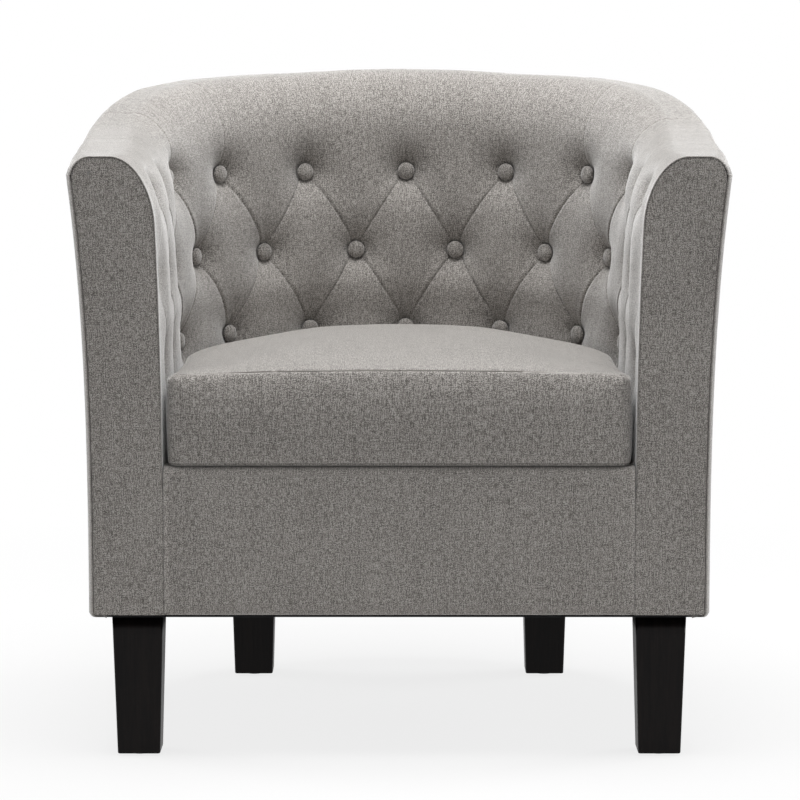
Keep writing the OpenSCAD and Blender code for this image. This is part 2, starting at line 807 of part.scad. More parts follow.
// Buttons: columns of the outer rows are whole pitches, those of the middle row halves
button_reach = half_len - face_t - front_run / 2;
button_spots = [for (row = [-1, 0, 1])
    let(shift = row == 0 ? tuft_pitch / 2 : 0)
    let(count = floor((button_reach - shift) / tuft_pitch))
    for (k = [-count - (row == 0 ? 1 : 0) : count])
        [k * tuft_pitch + shift + tuft_shift, row_z + row * row_pitch]];
module at_buttons() {
    for (place = button_spots) {
        s = place[0];
        turn = corner_turn(s, place[1]);
        p = face_point(s, place[1], turn);
        way = face_way(turn);
        translate(spot(s, p[0], p[1]))
            rotate([0, 0, 90 - turn_at(s)])
                rotate([0, atan2(way[0], way[1]), 0]) children();
    }
}
module tufting_buttons() {
    r = button_d / 2;
    dome_r = (r * r + button_h * button_h) / (2 * button_h);
    rim_z = button_back_h + button_edge;
    color(fabric_color)
        at_buttons()
            union() {
                translate([0, 0, button_tip_gap])
                    cylinder(r1 = button_tip_r, r2 = r, h = button_back_h - button_tip_gap,
                        $fn = 16);
                translate([0, 0, button_back_h]) cylinder(r = r, h = button_edge, $fn = 16);
                intersection() {
                    translate([0, 0, rim_z + button_h - dome_r]) sphere(dome_r, $fn = 20);
                    translate([0, 0, rim_z - button_edge / 2])
                        cylinder(r = r, h = button_h + button_edge, $fn = 16);
                }
            }
}

// Each button's twine runs straight out through the padding to a clasp behind the board
function twine_spot(place) =
    face_point(place[0], place[1], corner_turn(place[0], place[1]));
clasp_in_t = board_in_t + board_t + clasp_gap;
module tufting_twines() {
    color("#e8e4da")
        for (place = button_spots) {
            p = twine_spot(place);
            translate([0, 0, p[1]])
                at_place(place[0], p[0])
                    rotate([0, 90, 0])
                        cylinder(d = twine_d, $fn = 8,
                            h = in_r + clasp_in_t + lean_at(p[1]) - p[0]);
        }
}
module tufting_clasps() {
    color("#9fa1a3")
        for (place = button_spots) {
            p = twine_spot(place);
            translate([0, 0, p[1]])
                at_place(place[0], in_r + clasp_in_t + lean_at(p[1]))
                    rotate([0, 90, 0]) cylinder(d = clasp_d, h = clasp_t, $fn = 12);
        }
}

// Zigzag springs from the front of the seat ring to its round back
seat_in_r = ring_out_r - seat_ring_w;
spring_front = frame_y + ring_front_w - spring_inset;
spring_x = [for (i = [0 : spring_count - 1])
    spring_spread * (i / (spring_count - 1) - 1 / 2)];
function spring_back(x) = round_y + sqrt(seat_in_r * seat_in_r - x * x) + spring_inset;
function spring_loops(x) = round((spring_back(x) - spring_front) / spring_loop);
function spring_path(x) =
    let(n = spring_loops(x), pitch = (spring_back(x) - spring_front) / n)
    [for (i = [0 : n], k = [0 : 3])
        let(side = i % 2 == 0 ? 1 : -1, y = spring_front + i * pitch)
        if (i < n || k < 2)
            k == 0 ? [x - side * (spring_half_w - spring_bend), y]
            : k == 1 ? [x + side * (spring_half_w - spring_bend), y]
            : k == 2 ? [x + side * spring_half_w, y + spring_bend]
            : [x + side * spring_half_w, y + pitch - spring_bend]];
function tube_ring(path, i, z, r) =
    let(last = len(path) - 1)
    let(a = path[max(0, i - 1)], b = path[min(last, i + 1)], way = (b - a) / norm(b - a))
    [for (k = [0 : spring_sides - 1])
        let(turn = 360 * k / spring_sides)
        [path[i][0] + r * cos(turn) * way[1], path[i][1] - r * cos(turn) * way[0],
            z - r * sin(turn)]];
module seat_springs() {
    color("#77797c")
        for (x = spring_x) {
            path = spring_path(x);
            loft([for (i = [0 : len(path) - 1]) tube_ring(path, i, wire_z, wire_d / 2)]);
        }
}
module spring_clip() {
    difference() {
        union() {
            translate([-clip_len / 2, 0, wire_z]) rotate([0, 90, 0])
                cylinder(r = clip_r, h = clip_len, $fn = 24);
            translate([-clip_len / 2, -clip_plate_w / 2, seat_ring_top])
                cube([clip_len, clip_plate_w, clip_plate_t]);
        }
        translate([-clip_len / 2 - over, 0, wire_z]) rotate([0, 90, 0])
            cylinder(d = wire_d + 4 * bore_gap, h = clip_len + 2 * over, $fn = 24);
    }
}
module spring_clips() {
    color("#a7a9ab")
        for (x = spring_x, y = [spring_front, spring_back(x)])
            translate([x, y, 0]) spring_clip();
}
module tie_wires() {
    reach = spring_spread / 2 + tie_over;
    color("#c9b28a")
        for (share = tie_shares)
            translate([-reach, mixed(spring_front, spring_back(0), share), tie_z])
                rotate([0, 90, 0]) cylinder(d = tie_d, h = 2 * reach, $fn = 24);
}
deck_r = in_r - crest - deck_gap;
module deck_pad() {
    color("#8a8d90")
        translate([0, 0, deck_pad_z]) linear_extrude(deck_pad_t) plan(deck_r, frame_y);
}
module deck_cover() {
    color("#55524f")
        translate([0, 0, deck_cover_z])
            linear_extrude(deck_cover_t) plan(deck_r, front_y + front_return + fit);
}

// Plan of the cushion drawn in by an inset, from its right side round the back
function cushion_plan(inset) =
    let(r = cushion_w - inset, low = cushion_front_y + inset)
    let(c = max(cushion_corner_least, cushion_corner - inset), side = low + c)
    let(pull = cushion_pull * max(0, 1 - inset / cushion_corner))
    concat(
        [for (k = [0 : arc_steps])
            let(turn = 90 - 180 * k / arc_steps)
            [r * sin(turn), cushion_y + r * cos(turn)]],
        [for (k = [1 : side_steps])
            [pull * sin(180 * k / side_steps) - r, mixed(cushion_y, side, k / side_steps)]],
        [for (k = [1 : bend_steps])
            let(turn = 90 * k / bend_steps)
            [c * (1 - cos(turn)) - r, side - c * sin(turn)]],
        [for (k = [1 : front_steps - 1])
            [mixed(c - r, r - c, k / front_steps),
                low + pull * sin(180 * k / front_steps)]],
        [for (k = [0 : bend_steps])
            let(turn = 90 * k / bend_steps)
            [r - c * (1 - sin(turn)), side - c * cos(turn)]],
        [for (k = [1 : side_steps - 1])
            [r - pull * sin(180 * k / side_steps), mixed(side, cushion_y, k / side_steps)]]);
function cushion_ring(inset, z) = [for (p = cushion_plan(inset)) [p[0], p[1], z]];
function crown_z(inset) =
    let(open = 1 - clamped((inset - cushion_edge) / crown_reach))
    cushion_top + crown_h * (1 - open * open);
edge_in = cushion_edge * (1 - cos(45));
crown_shares = [1, 0.8, 0.57, 0.37, 0.21, 0.1];
inner_shares = [0.8, 0.37, 0.1];

// Rings of a cushion-shaped shell from its top down, drawn in by a skin
function cushion_rings(shares, skin) = concat(
    [for (inset = shares * crown_reach) cushion_ring(inset + skin, crown_z(inset) - skin)],
    skin > 0 ? [] : [cushion_ring(cushion_edge, cushion_top),
        cushion_ring(edge_in, cushion_top - edge_in)],
    [for (z = [cushion_top - cushion_edge, cushion_mid_z + zip_slot / 2,
        cushion_mid_z - zip_slot / 2, cushion_z + cushion_edge]) cushion_ring(skin, z)],
    skin > 0 ? [] : [cushion_ring(edge_in, cushion_z + edge_in)],
    [cushion_ring(cushion_edge + skin, cushion_z + skin)]);

// Faces round a stack of closed rings, but for a stretch of one band
function ring_loop(start, n, i) = [for (k = [0 : n]) start + i * n + k % n];
function ring_faces(start, n, count, band, from, to) =
    [for (i = [0 : count - 2], k = [0 : n - 1])
        if (i != band || k < from || k >= to)
            each let(a = ring_loop(start, n, i), b = ring_loop(start, n, i + 1))
                [[a[k], a[k + 1], b[k + 1]], [a[k], b[k + 1], b[k]]]];
function lid_faces(start, n, i, tip) =
    let(a = ring_loop(start, n, i)) [for (k = [0 : n - 1]) [tip, a[k + 1], a[k]]];
function ring_middle(ring) =
    [0, (min([for (p = ring) p[1]]) + max([for (p = ring) p[1]])) / 2, ring[0][2]];

// The cushion's sewn cover: a thin shell, open round the back where the zip lies
module seat_cushion_cover() {
    outer = cushion_rings(crown_shares, 0);
    inner = cushion_rings(inner_shares, cushion_skin);
    n = len(outer[0]);
    start = n * len(outer);
    tips = start + n * len(inner);
    out_band = len(crown_shares) + 3;
    in_band = len(inner_shares) + 1;
    from = arc_steps / 2 - zip_steps;
    to = arc_steps / 2 + zip_steps;
    out_last = len(outer) - 1;
    in_last = len(inner) - 1;
    o1 = span(out_band * n + from, to - from + 1);
    o2 = span((out_band + 1) * n + from, to - from + 1);
    i1 = span(start + in_band * n + from, to - from + 1);
    i2 = span(start + (in_band + 1) * n + from, to - from + 1);
    color(cushion_color)
        polyhedron(
            concat([for (ring = outer) each ring], [for (ring = inner) each ring],
                [ring_middle(outer[0]), ring_middle(outer[out_last]),
                    ring_middle(inner[0]), ring_middle(inner[in_last])]),
            concat(
                ring_faces(0, n, len(outer), out_band, from, to),
                lid_faces(0, n, 0, tips),
                flipped(lid_faces(0, n, out_last, tips + 1)),
                flipped(ring_faces(start, n, len(inner), in_band, from, to)),
                flipped(lid_faces(start, n, 0, tips + 2)),
                lid_faces(start, n, in_last, tips + 3),
                strip(o1, i1), strip(i2, o2),
                strip([o2[0], o1[0]], [i2[0], i1[0]]),
                strip([o1[len(o1) - 1], o2[len(o1) - 1]], [i1[len(o1) - 1], i2[len(o1) - 1]])));
}
module seat_cushion_core() {
    skin = cushion_skin + fit;
    rings = cushion_rings(inner_shares, skin);
    n = len(rings[0]);
    last = len(rings) - 1;
    tips = n * len(rings);
    color("#efe7c8")
        polyhedron(
            concat([for (ring = rings) each ring],
                [ring_middle(rings[0]), ring_middle(rings[last])]),
            concat(ring_faces(0, n, len(rings), -1, 0, 0), lid_faces(0, n, 0, tips),
                flipped(lid_faces(0, n, last, tips + 1))));
}

// The zip: a tape with its coil in the slot, and a slider with a hanging tab
zip_turn = 180 * zip_steps / arc_steps;
zip_r = cushion_w - cushion_skin + fit;
zip_trim = fit / cushion_w * 180 / PI;
slider_turn = zip_turn - slider_end_gap / cushion_w * 180 / PI;
module round_the_back(from, to) {
    translate([0, cushion_y, cushion_mid_z])
        rotate(90 - to) rotate_extrude(angle = to - from, $fn = 96) children();
}
module cushion_zip() {
    tape_w = zip_slot - 2 * fit;
    color("#8c867e")
        round_the_back(-zip_turn + zip_trim, zip_turn - zip_trim)
            polygon([[zip_r, -tape_w / 2], [zip_r + zip_tape_t, -tape_w / 2],
                [zip_r + zip_tape_t, -zip_coil_w / 2],
                [zip_r + zip_tape_t + zip_coil_t, -zip_coil_w / 2],
                [zip_r + zip_tape_t + zip_coil_t, zip_coil_w / 2],
                [zip_r + zip_tape_t, zip_coil_w / 2],
                [zip_r + zip_tape_t, tape_w / 2], [zip_r, tape_w / 2]]);
}
module zip_slider() {
    r = zip_r + zip_tape_t + zip_coil_t + fit;
    half = slider_len / r * 90 / PI;
    tab_half = tab_w / r * 90 / PI;
    color("#b5a98c")
        union() {
            round_the_back(slider_turn - half, slider_turn + half)
                translate([r, -slider_w / 2]) square([slider_t, slider_w]);
            round_the_back(slider_turn - tab_half, slider_turn + tab_half)
                translate([r + (slider_t - tab_t) / 2, -slider_w / 2 - tab_len])
                    square([tab_t, tab_len + slider_w / 2]);
        }
}

leg_front_left();
leg_front_right();
leg_rear_left();
leg_rear_right();
foot_glides();
hanger_bolts();
tee_nuts();
leg_blocks();
dust_cover();
base_ring();
front_rail();
lower_posts();
seat_ring_front();
seat_ring_left();
seat_ring_right();
seat_ring_back();
frame_screws();
arm_post_left();
arm_post_right();
arm_mid_post_left();
arm_mid_post_right();
back_post_1();
back_post_2();
back_post_3();
back_post_4();
top_rail();
inside_board();
inside_foam();
tufting_clasps();
tufting_twines();
tufting_buttons();
inside_arm_left();
inside_back();
inside_arm_right();
spring_clips();
seat_springs();
tie_wires();
deck_pad();
deck_cover();
outside_board();
tack_strip();
outside_cover();
arm_panel_left();
arm_panel_right();
front_rail_cover();
seat_cushion_cover();
seat_cushion_core();
cushion_zip();
zip_slider();
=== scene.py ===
import math
import bmesh
import bpy
import numpy as np
from mathutils import Matrix, Vector, noise


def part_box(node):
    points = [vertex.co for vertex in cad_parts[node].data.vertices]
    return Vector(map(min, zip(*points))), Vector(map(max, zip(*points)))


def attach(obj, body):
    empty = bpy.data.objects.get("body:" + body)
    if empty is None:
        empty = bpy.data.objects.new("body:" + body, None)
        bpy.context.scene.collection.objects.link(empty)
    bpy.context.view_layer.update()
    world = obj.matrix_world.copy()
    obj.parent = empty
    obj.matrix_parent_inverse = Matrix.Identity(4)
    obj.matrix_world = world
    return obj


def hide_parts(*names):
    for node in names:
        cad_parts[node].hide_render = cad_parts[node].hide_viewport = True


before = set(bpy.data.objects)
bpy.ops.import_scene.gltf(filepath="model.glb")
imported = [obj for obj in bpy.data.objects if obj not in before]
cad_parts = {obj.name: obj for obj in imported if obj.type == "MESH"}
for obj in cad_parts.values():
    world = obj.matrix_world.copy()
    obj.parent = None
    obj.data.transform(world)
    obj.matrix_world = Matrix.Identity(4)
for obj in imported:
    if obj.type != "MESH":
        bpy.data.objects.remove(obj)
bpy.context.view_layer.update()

scene = bpy.context.scene
scene.view_settings.view_transform = "Standard"

# Studio: the camera stands 3.5 m in front of the chair and a little above its back, and
# looks slightly down. The floor is plain and pale. One large soft lamp hangs above, and two
# stand at the sides, a little behind, so that tops are light and hollows stay soft.
CAMERA_PLACE, CAMERA_DOWN, CAMERA_LENS = (0, -3.8255, 0.7786), 6.2015, 145.65
camera = bpy.data.objects.new("camera", bpy.data.cameras.new("camera"))
camera.data.sensor_width = 36
camera.data.lens = CAMERA_LENS
camera.data.shift_x = 0.001
camera.location = CAMERA_PLACE
camera.rotation_euler = (math.radians(90 - CAMERA_DOWN), 0, 0)
scene.collection.objects.link(camera)
scene.camera = camera


def add_node(tree, kind, inputs=None, **settings):
    node = tree.nodes.new(kind)
    for key, value in settings.items():
        setattr(node, key, value)
    for key, value in (inputs or {}).items():
        if isinstance(value, bpy.types.NodeSocket):
            tree.links.new(value, node.inputs[key])
        else:
            node.inputs[key].default_value = value
    return node


def reckon(tree, operation, *values):
    """One sum in a shader, as a value."""
    return add_node(tree, "ShaderNodeMath", dict(enumerate(values)),
                    operation=operation).outputs[0]


def mottle(tree, place, scale, **more):
    """Noise in a shader, as a value."""
    return add_node(tree, "ShaderNodeTexNoise",
                    {"Vector": place, "Scale": scale, **more}).outputs[0]


def own_place(tree):
    """The place within the object itself, so that a pattern runs through its body."""
    return add_node(tree, "ShaderNodeTexCoord").outputs["Object"]


def new_material(name, **finish):
    material = bpy.data.materials.new(name)
    material.use_nodes = True
    shader = material.node_tree.nodes["Principled BSDF"]
    for key, value in finish.items():
        shader.inputs[key.replace("_", " ")].default_value = value
    return material, material.node_tree, shader


def white_to_camera(tree, surface, share, out):
    """Shows a surface white to the camera, gloss and glass, and as it is to other light."""
    path = add_node(tree, "ShaderNodeLightPath")
    seen = path.outputs["Is Camera Ray"]
    for ray in ("Is Glossy Ray", "Is Transmission Ray"):
        seen = reckon(tree, "MAXIMUM", seen, path.outputs[ray])
    amount = reckon(tree, "MULTIPLY", seen, share)
    white = add_node(tree, "ShaderNodeBackground" if out.type == "OUTPUT_WORLD"
                     else "ShaderNodeEmission", {"Color": (1, 1, 1, 1), "Strength": 1})
    both = add_node(tree, "ShaderNodeMixShader", {0: amount, 1: surface,
                                                  2: white.outputs[0]})
    tree.links.new(both.outputs[0], out.inputs["Surface"])


floor_paint, tree, shader = new_material("studio_floor", Roughness=0.9,
                                         Specular_IOR_Level=0.1)
speckle = add_node(tree, "ShaderNodeTexNoise", {"Scale": 6})
tone = add_node(tree, "ShaderNodeMapRange", {"Value": speckle.outputs[0], 3: 0.6, 4: 0.66})
grey = add_node(tree, "ShaderNodeCombineColor", {i: tone.outputs[0] for i in range(3)})
tree.links.new(grey.outputs[0], shader.inputs["Base Color"])
away = add_node(tree, "ShaderNodeVectorMath", {0: own_place(tree)}, operation="LENGTH")
white_share = add_node(tree, "ShaderNodeMapRange", {"Value": away.outputs["Value"], 1: 0.5,
                                                    2: 1.6, 3: 0.8, 4: 1.0})
white_to_camera(tree, shader.outputs[0], white_share.outputs[0],
                tree.nodes["Material Output"])
FLOOR_R = 14
ground = bmesh.new()
bmesh.ops.create_circle(ground, cap_ends=True, segments=96, radius=FLOOR_R)
floor_mesh = bpy.data.meshes.new("studio_floor")
ground.to_mesh(floor_mesh)
ground.free()
floor_mesh.materials.append(floor_paint)
floor = bpy.data.objects.new("studio_floor", floor_mesh)
scene.collection.objects.link(floor)

world = bpy.data.worlds.new("studio_air")
scene.world = world
world.use_nodes = True
air = world.node_tree.nodes["Background"]
air.inputs["Color"].default_value = (1, 1, 1, 1)
air.inputs["Strength"].default_value = 0.29
white_to_camera(world.node_tree, air.outputs[0], 1, world.node_tree.nodes["World Output"])


LAMP_AIM = Vector((0, 0, 0.4))
for name, place, size, watts in (("lamp_above", (0.05, -0.22, 3.0), 2.1, 113),
                                 ("lamp_left", (-2.7, 0.9, 1.1), 1.4, 38),
                                 ("lamp_right", (2.7, 0.9, 1.1), 1.4, 50)):
    lamp = bpy.data.lights.new(name, "AREA")
    lamp.shape = "DISK"
    lamp.size = size
    lamp.energy = watts
    holder = bpy.data.objects.new(name, lamp)
    holder.location = place
    holder.rotation_euler = (LAMP_AIM - Vector(place)).to_track_quat("-Z", "Y").to_euler()
    scene.collection.objects.link(holder)


# Legs: four square tapered blocks of hardwood under an espresso stain and a satin
# lacquer. The long edges are eased by hand, the foot a little more, and each leg is
# screwed up into the seat box by the hanger bolt in its top.
def shades(tree, value, dark, light, start=0.0, stop=1.0):
    """A ramp from a dark shade to a light one, as the value of a pattern rises."""
    ramp = add_node(tree, "ShaderNodeValToRGB", {"Fac": value})
    for element, place, colour in zip(ramp.color_ramp.elements, (start, stop), (dark, light)):
        element.position = place
        element.color = (*colour, 1)
    return ramp


def paint(tree, shader, colour, rough=None, relief=None):
    """Joins a finish's patterns to its shader: colour, a range of roughness, and relief."""
    tree.links.new(colour, shader.inputs["Base Color"])
    if rough:
        value, low, high = rough
        spread = add_node(tree, "ShaderNodeMapRange", {"Value": value, 3: low, 4: high})
        tree.links.new(spread.outputs[0], shader.inputs["Roughness"])
    if relief:
        height, strength, depth = relief
        bump = add_node(tree, "ShaderNodeBump", {"Height": height, "Strength": strength,
                                                 "Distance": depth})
        tree.links.new(bump.outputs[0], shader.inputs["Normal"])


def grained_wood(name, dark, light, across, roughness, coat, shine):
    material, tree, shader = new_material(name, Coat_Weight=coat, Coat_Roughness=0.28,
                                          Specular_IOR_Level=shine)
    run = add_node(tree, "ShaderNodeMapping", {"Vector": own_place(tree),
                                               "Scale": across}).outputs[0]
    grain = mottle(tree, run, 1, Detail=6, Roughness=0.62, Distortion=0.25)
    pores = mottle(tree, run, 4.5, Detail=3, Roughness=0.7)
    both = reckon(tree, "MULTIPLY", grain, pores)
    stain = shades(tree, both, dark, light, 0.14, 0.38)
    paint(tree, shader, stain.outputs[0], (pores, roughness - 0.05, roughness + 0.07),
          (both, 0.25, 0.0004))
    return material


def make_piece(name, form, body, material, stands_for=(), smooth=True, thick=0.0):
    """Makes a piece from a bmesh. A sheet gets its thickness inwards from its face."""
    mesh = bpy.data.meshes.new(name)
    form.to_mesh(mesh)
    form.free()
    mesh.polygons.foreach_set("use_smooth", [smooth] * len(mesh.polygons))
    mesh.materials.append(material)
    piece = bpy.data.objects.new(name, mesh)
    scene.collection.objects.link(piece)
    if thick:
        skin = piece.modifiers.new("thickness", "SOLIDIFY")
        skin.thickness, skin.offset = thick, -1
    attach(piece, body)
    if stands_for:
        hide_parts(*stands_for)
    return piece


def ease_edges(form, edges, r, steps):
    bmesh.ops.bevel(form, geom=edges, offset=r, segments=steps, profile=0.5,
                    affect="EDGES", material=-1)


espresso = grained_wood("espresso_wood", (0.0016, 0.0012, 0.0014), (0.0078, 0.0056, 0.0052),
                        (95, 95, 5), 0.4, 0.03, 0.1)
LEG_LOW, LEG_HIGH, LEG_TOP_W, LEG_FOOT_W = 0.0025, 0.1571, 0.056, 0.047
LEG_EDGE_R, FOOT_EDGE_R = 0.003, 0.0012
for name in ("leg_front_left", "leg_front_right", "leg_rear_left", "leg_rear_right"):
    middle = sum(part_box(name), Vector()) / 2
    leg = bmesh.new()
    bmesh.ops.create_cube(leg, size=1)
    for vert in leg.verts:
        width = LEG_TOP_W if vert.co.z > 0 else LEG_FOOT_W
        vert.co = Vector((middle.x + vert.co.x * width, middle.y + vert.co.y * width,
                          LEG_HIGH if vert.co.z > 0 else LEG_LOW))
    upright = [e for e in leg.edges if abs(e.verts[0].co.z - e.verts[1].co.z) > 0.01]
    ease_edges(leg, upright, LEG_EDGE_R, 4)
    foot = [e for e in leg.edges if max(v.co.z for v in e.verts) < LEG_LOW + 0.0005]
    ease_edges(leg, foot, FOOT_EDGE_R, 2)
    sides = [e for e in leg.edges if abs(e.verts[0].co.z - e.verts[1].co.z) > 0.05]
    bmesh.ops.subdivide_edges(leg, edges=sides, cuts=6, use_grid_fill=True)
    bmesh.ops.recalc_face_normals(leg, faces=leg.faces)
    piece = make_piece(name + "_wood", leg, "frame", espresso, (name,))
    piece.modifiers.new("even_shading", "WEIGHTED_NORMAL").keep_sharp = True


# Inside cover: one run of linen-look cloth over thick fibre wadding, pulled back by
# buttons in diamonds. It is folded from button to button, pleated over the rolled rim and
# turned under in a hem outside, and its front edges roll in to the seams of the facings.
IN_R, WALL_T, CORNER_W, CORNER_H = 0.258, 0.083, 0.045, 0.075
EDGE_R, FRONT_EDGE_R, FRONT_EDGE_RUN, DRAW, DRAW_RUN = 0.014, 0.027, 0.10, 0.0046, 0.014
LEAN, LEAN_H, SEAT_LEAN, BOX_Z, ARM_H, BACK_H = 0.020, 0.481, 0.45, 0.159, 0.663, 0.753
ROUND_R, ARM_DEPTH, ROUND_Y, FRONT_Y = 0.280, 0.275, -0.050533, -0.325533
HALF_ARC = ROUND_R * math.pi / 2
HALF_LEN = HALF_ARC + ARM_DEPTH
LOW_ROW, TOP_ROW, PAD_Z = 0.432, 0.626, 0.3035
TUFT_PITCH, TUFT_SHIFT, TUFT_DEPTH, CREST = 0.128, 0.0085, 0.017, 0.004
FACE_T, HEM_H, FRONT_RUN, LEAN_SPREAD = 0.0105, 0.020, 0.058, 0.7
RIM_SHARES = np.array([0, 0.02, 0.055, 0.115, 0.185, 0.285, 0.515, 0.728, 0.843, 0.897, 0.935,
                       0.975, 1])


def eased(share):
    share = np.clip(share, 0, 1)
    return share * share * (3 - 2 * share)


def mixed(a, b, share):
    return a + (b - a) * share


def lean_at(z):
    return LEAN * (np.maximum(0, z - BOX_Z) / LEAN_H) ** 3


def rim_at(s):
    last = len(RIM_SHARES) - 1
    way = np.clip(1 - np.abs(s) / HALF_LEN, 0, 1) * last
    i = np.minimum(np.floor(way).astype(int), last - 1)
    f = way - i
    before, start = RIM_SHARES[np.where(i == 0, 1, i - 1)], RIM_SHARES[i]
    end, after = RIM_SHARES[i + 1], RIM_SHARES[np.where(i + 2 > last, i, i + 2)]
    share = (start + f * (end - before) / 2
             + f * f * (before - 2.5 * start + 2 * end - after / 2)
             + f ** 3 * (3 * (start - end) + after - before) / 2)
    return mixed(ARM_H, BACK_H, share)


def edge_at(s):
    return mixed(FRONT_EDGE_R, EDGE_R, eased((HALF_LEN - np.abs(s)) / FRONT_EDGE_RUN))


def draw_in(s):
    """How far the outside of an arm draws in towards the seam of its facing."""
    return DRAW * np.clip((np.abs(s) - HALF_LEN + DRAW_RUN) / DRAW_RUN, 0, 1) ** 2


def lean_share(s):
    """How far the inside leans with the outside: all at the back, less along the arms."""
    return mixed(SEAT_LEAN, 1, eased((1 - np.abs(s) / HALF_LEN) / LEAN_SPREAD))


def spot(s, r, z):
    """The point at arc length s from the back's middle, r out from the round's centre."""
    turn = np.sign(s) * np.minimum(np.abs(s), HALF_ARC) / ROUND_R
    run = np.maximum(0, np.abs(s) - HALF_ARC)
    return np.stack([r * np.sin(turn), ROUND_Y + r * np.cos(turn) - run, z + 0 * s], -1)


def points_of(mesh):
    flat = np.empty(3 * len(mesh.vertices), np.float32)
    mesh.vertices.foreach_get("co", flat)
    return flat.reshape(-1, 3).astype(float)


def face_corners(mesh):
    """The vertex at each corner of each face."""
    corners = np.empty(len(mesh.loops), np.int32)
    mesh.loops.foreach_get("vertex_index", corners)
    return corners


def lay_weave(mesh, weave):
    """Keeps the cloth's own measure in metres on its mesh, for each corner of each face."""
    layer = mesh.uv_layers.new(name="weave")
    layer.data.foreach_set("uv", weave.astype(np.float32).ravel())


def shaped_grid(columns, rows, place):
    """A grid laid where place(column, row) says, with the weave that it gives."""
    sheet = bmesh.new()
    bmesh.ops.create_grid(sheet, x_segments=columns, y_segments=rows, size=0.5)
    mesh = bpy.data.meshes.new("grid")
    sheet.to_mesh(mesh)
    sheet.free()
    flat = points_of(mesh)
    column = np.rint((flat[:, 0] + 0.5) * columns).astype(int)
    row = np.rint((flat[:, 1] + 0.5) * rows).astype(int)
    points, weave = place(column, row)
    mesh.vertices.foreach_set("co", points.astype(np.float32).ravel())
    lay_weave(mesh, weave[face_corners(mesh)])
    shaped = bmesh.new()
    shaped.from_mesh(mesh)
    bpy.data.meshes.remove(mesh)
    return shaped, column, row


def ripples(points, waves):
    """Soft unevenness at each point, from waves of a height, a fineness and a seed."""
    total = 0
    for height, fine, seed in waves:
        shift = Vector((seed, -seed, 2 * seed))
        total = total + height * np.array([noise.noise(Vector(p) * fine + shift)
                                           for p in points])
    return total


def crossed_threads(tree, vector, thread, wobble):
    """The over and under of plain weave, as the height of two crossed sets of threads."""
    warp, weft = [add_node(tree, "ShaderNodeTexWave",
                           {"Vector": vector, "Scale": math.pi / thread / 10,
                            "Distortion": wobble}, bands_direction=axis).outputs["Fac"]
                  for axis in ("X", "Y")]
    return reckon(tree, "MULTIPLY", warp, weft)


def weave_cloth(name, slubs=1.0, thread=0.00115, dark=(0.097, 0.088, 0.081),
                middle=(0.238, 0.221, 0.204), light=(0.440, 0.418, 0.392)):
    """Heathered linen-look cloth of mixed threads, some of them thick and uneven."""
    material, tree, shader = new_material(name, Roughness=0.88, Sheen_Weight=0.6,
                                          Sheen_Roughness=0.5, Specular_IOR_Level=0.22)
    place = add_node(tree, "ShaderNodeUVMap", uv_map="weave")

    def streaks(scale, detail=2.0, rough=0.6):
        run = add_node(tree, "ShaderNodeMapping", {"Vector": place.outputs[0],
                                                   "Scale": (*scale, 1)})
        return add_node(tree, "ShaderNodeTexNoise",
                        {"Vector": run.outputs[0], "Scale": 1, "Detail": detail,
                         "Roughness": rough}, noise_dimensions="2D").outputs[0]

    def sum_of(*terms):
        total = 0.5
        for value, weight in terms:
            total = reckon(tree, "MULTIPLY_ADD", reckon(tree, "SUBTRACT", value, 0.5), weight,
                           total)
        return total

    warp = streaks((860, 125))
    weft = streaks((145, 780))
    thick_warp = streaks((190, 11), 3.0)
    thick_weft = streaks((14, 220), 3.0)
    heather = streaks((700, 520), 3.0, 0.75)
    fleck = streaks((1250, 950), 1.0)
    cloud = streaks((9, 7), 3.0)
    tone = sum_of((warp, 1.1 * slubs), (weft, 0.65 * slubs), (thick_warp, 0.24 * slubs),
                  (thick_weft, 0.14 * slubs), (heather, 1.45), (fleck, 1.9), (cloud, 0.14))
    ramp = shades(tree, tone, dark, light, 0.22, 0.8)
    ramp.color_ramp.elements.new(0.5).color = (*middle, 1)
    over = crossed_threads(tree, place.outputs[0], thread, 0.0)
    height = sum_of((over, 0.5), (warp, 0.5), (weft, 0.4), (thick_warp, 0.6),
                    (thick_weft, 0.4))
    paint(tree, shader, ramp.outputs[0], relief=(height, 0.35, 0.0006))
    return material


grey_linen = weave_cloth("grey_linen")

# Rows of the cover's section: from behind the cushion up over the rim, a flat top, a round
# outer edge, the hem, and back down behind the wadding. Extra columns roll in at each end.
LOW_STEPS, TUFT_STEPS, ROLL_STEPS = 6, 64, 30
FLAT_STEPS, ROUND_STEPS, HEM_STEP, LAST_STEP = 4, 6, 11, 21
ROLL_COLUMNS = 7
COLUMN = TUFT_PITCH / TUFT_STEPS
END_GAP, FRONT_KEEP = 0.005, 0.0003
first_column = math.ceil((-(HALF_LEN - END_GAP) - TUFT_SHIFT) / COLUMN)
last_column = math.floor((HALF_LEN - END_GAP - TUFT_SHIFT) / COLUMN)


# The folds: how far from one fold to the next in millimetres, and the way across one that
# slants. Each bows a little, gathers the cloth beside it, and has a crease and a lip.
HALF_ROWS = (TOP_ROW - LOW_ROW) / 2
UPRIGHT_GAP, SLANT_GAP, SLANT_ACROSS, SLANT_UP = 128, 106.8, 0.835, 0.551
FOLD_BOW, GATHER, GATHER_AT, GATHER_RUN = 0.0055, 0.0007, 1.9, 1.3
CREASE_DEPTH, CREASE_W, LIP_RISE, LIP_AT, LIP_W = 0.0012, 0.9, 0.0004, 5.0, 3.2
# Above the cushion the pillows stand prouder. They flatten out up the rim in pleats, and
# down behind the cushion in tails.
CREST_MORE, CREST_FROM, CREST_BLEND = 0.004, 0.445, 0.05
PLEAT_RUN, PLEAT_KEEP, TAIL_KEEP, FOLD_KEEP = 0.038, 0.28, 0.3, 0.5
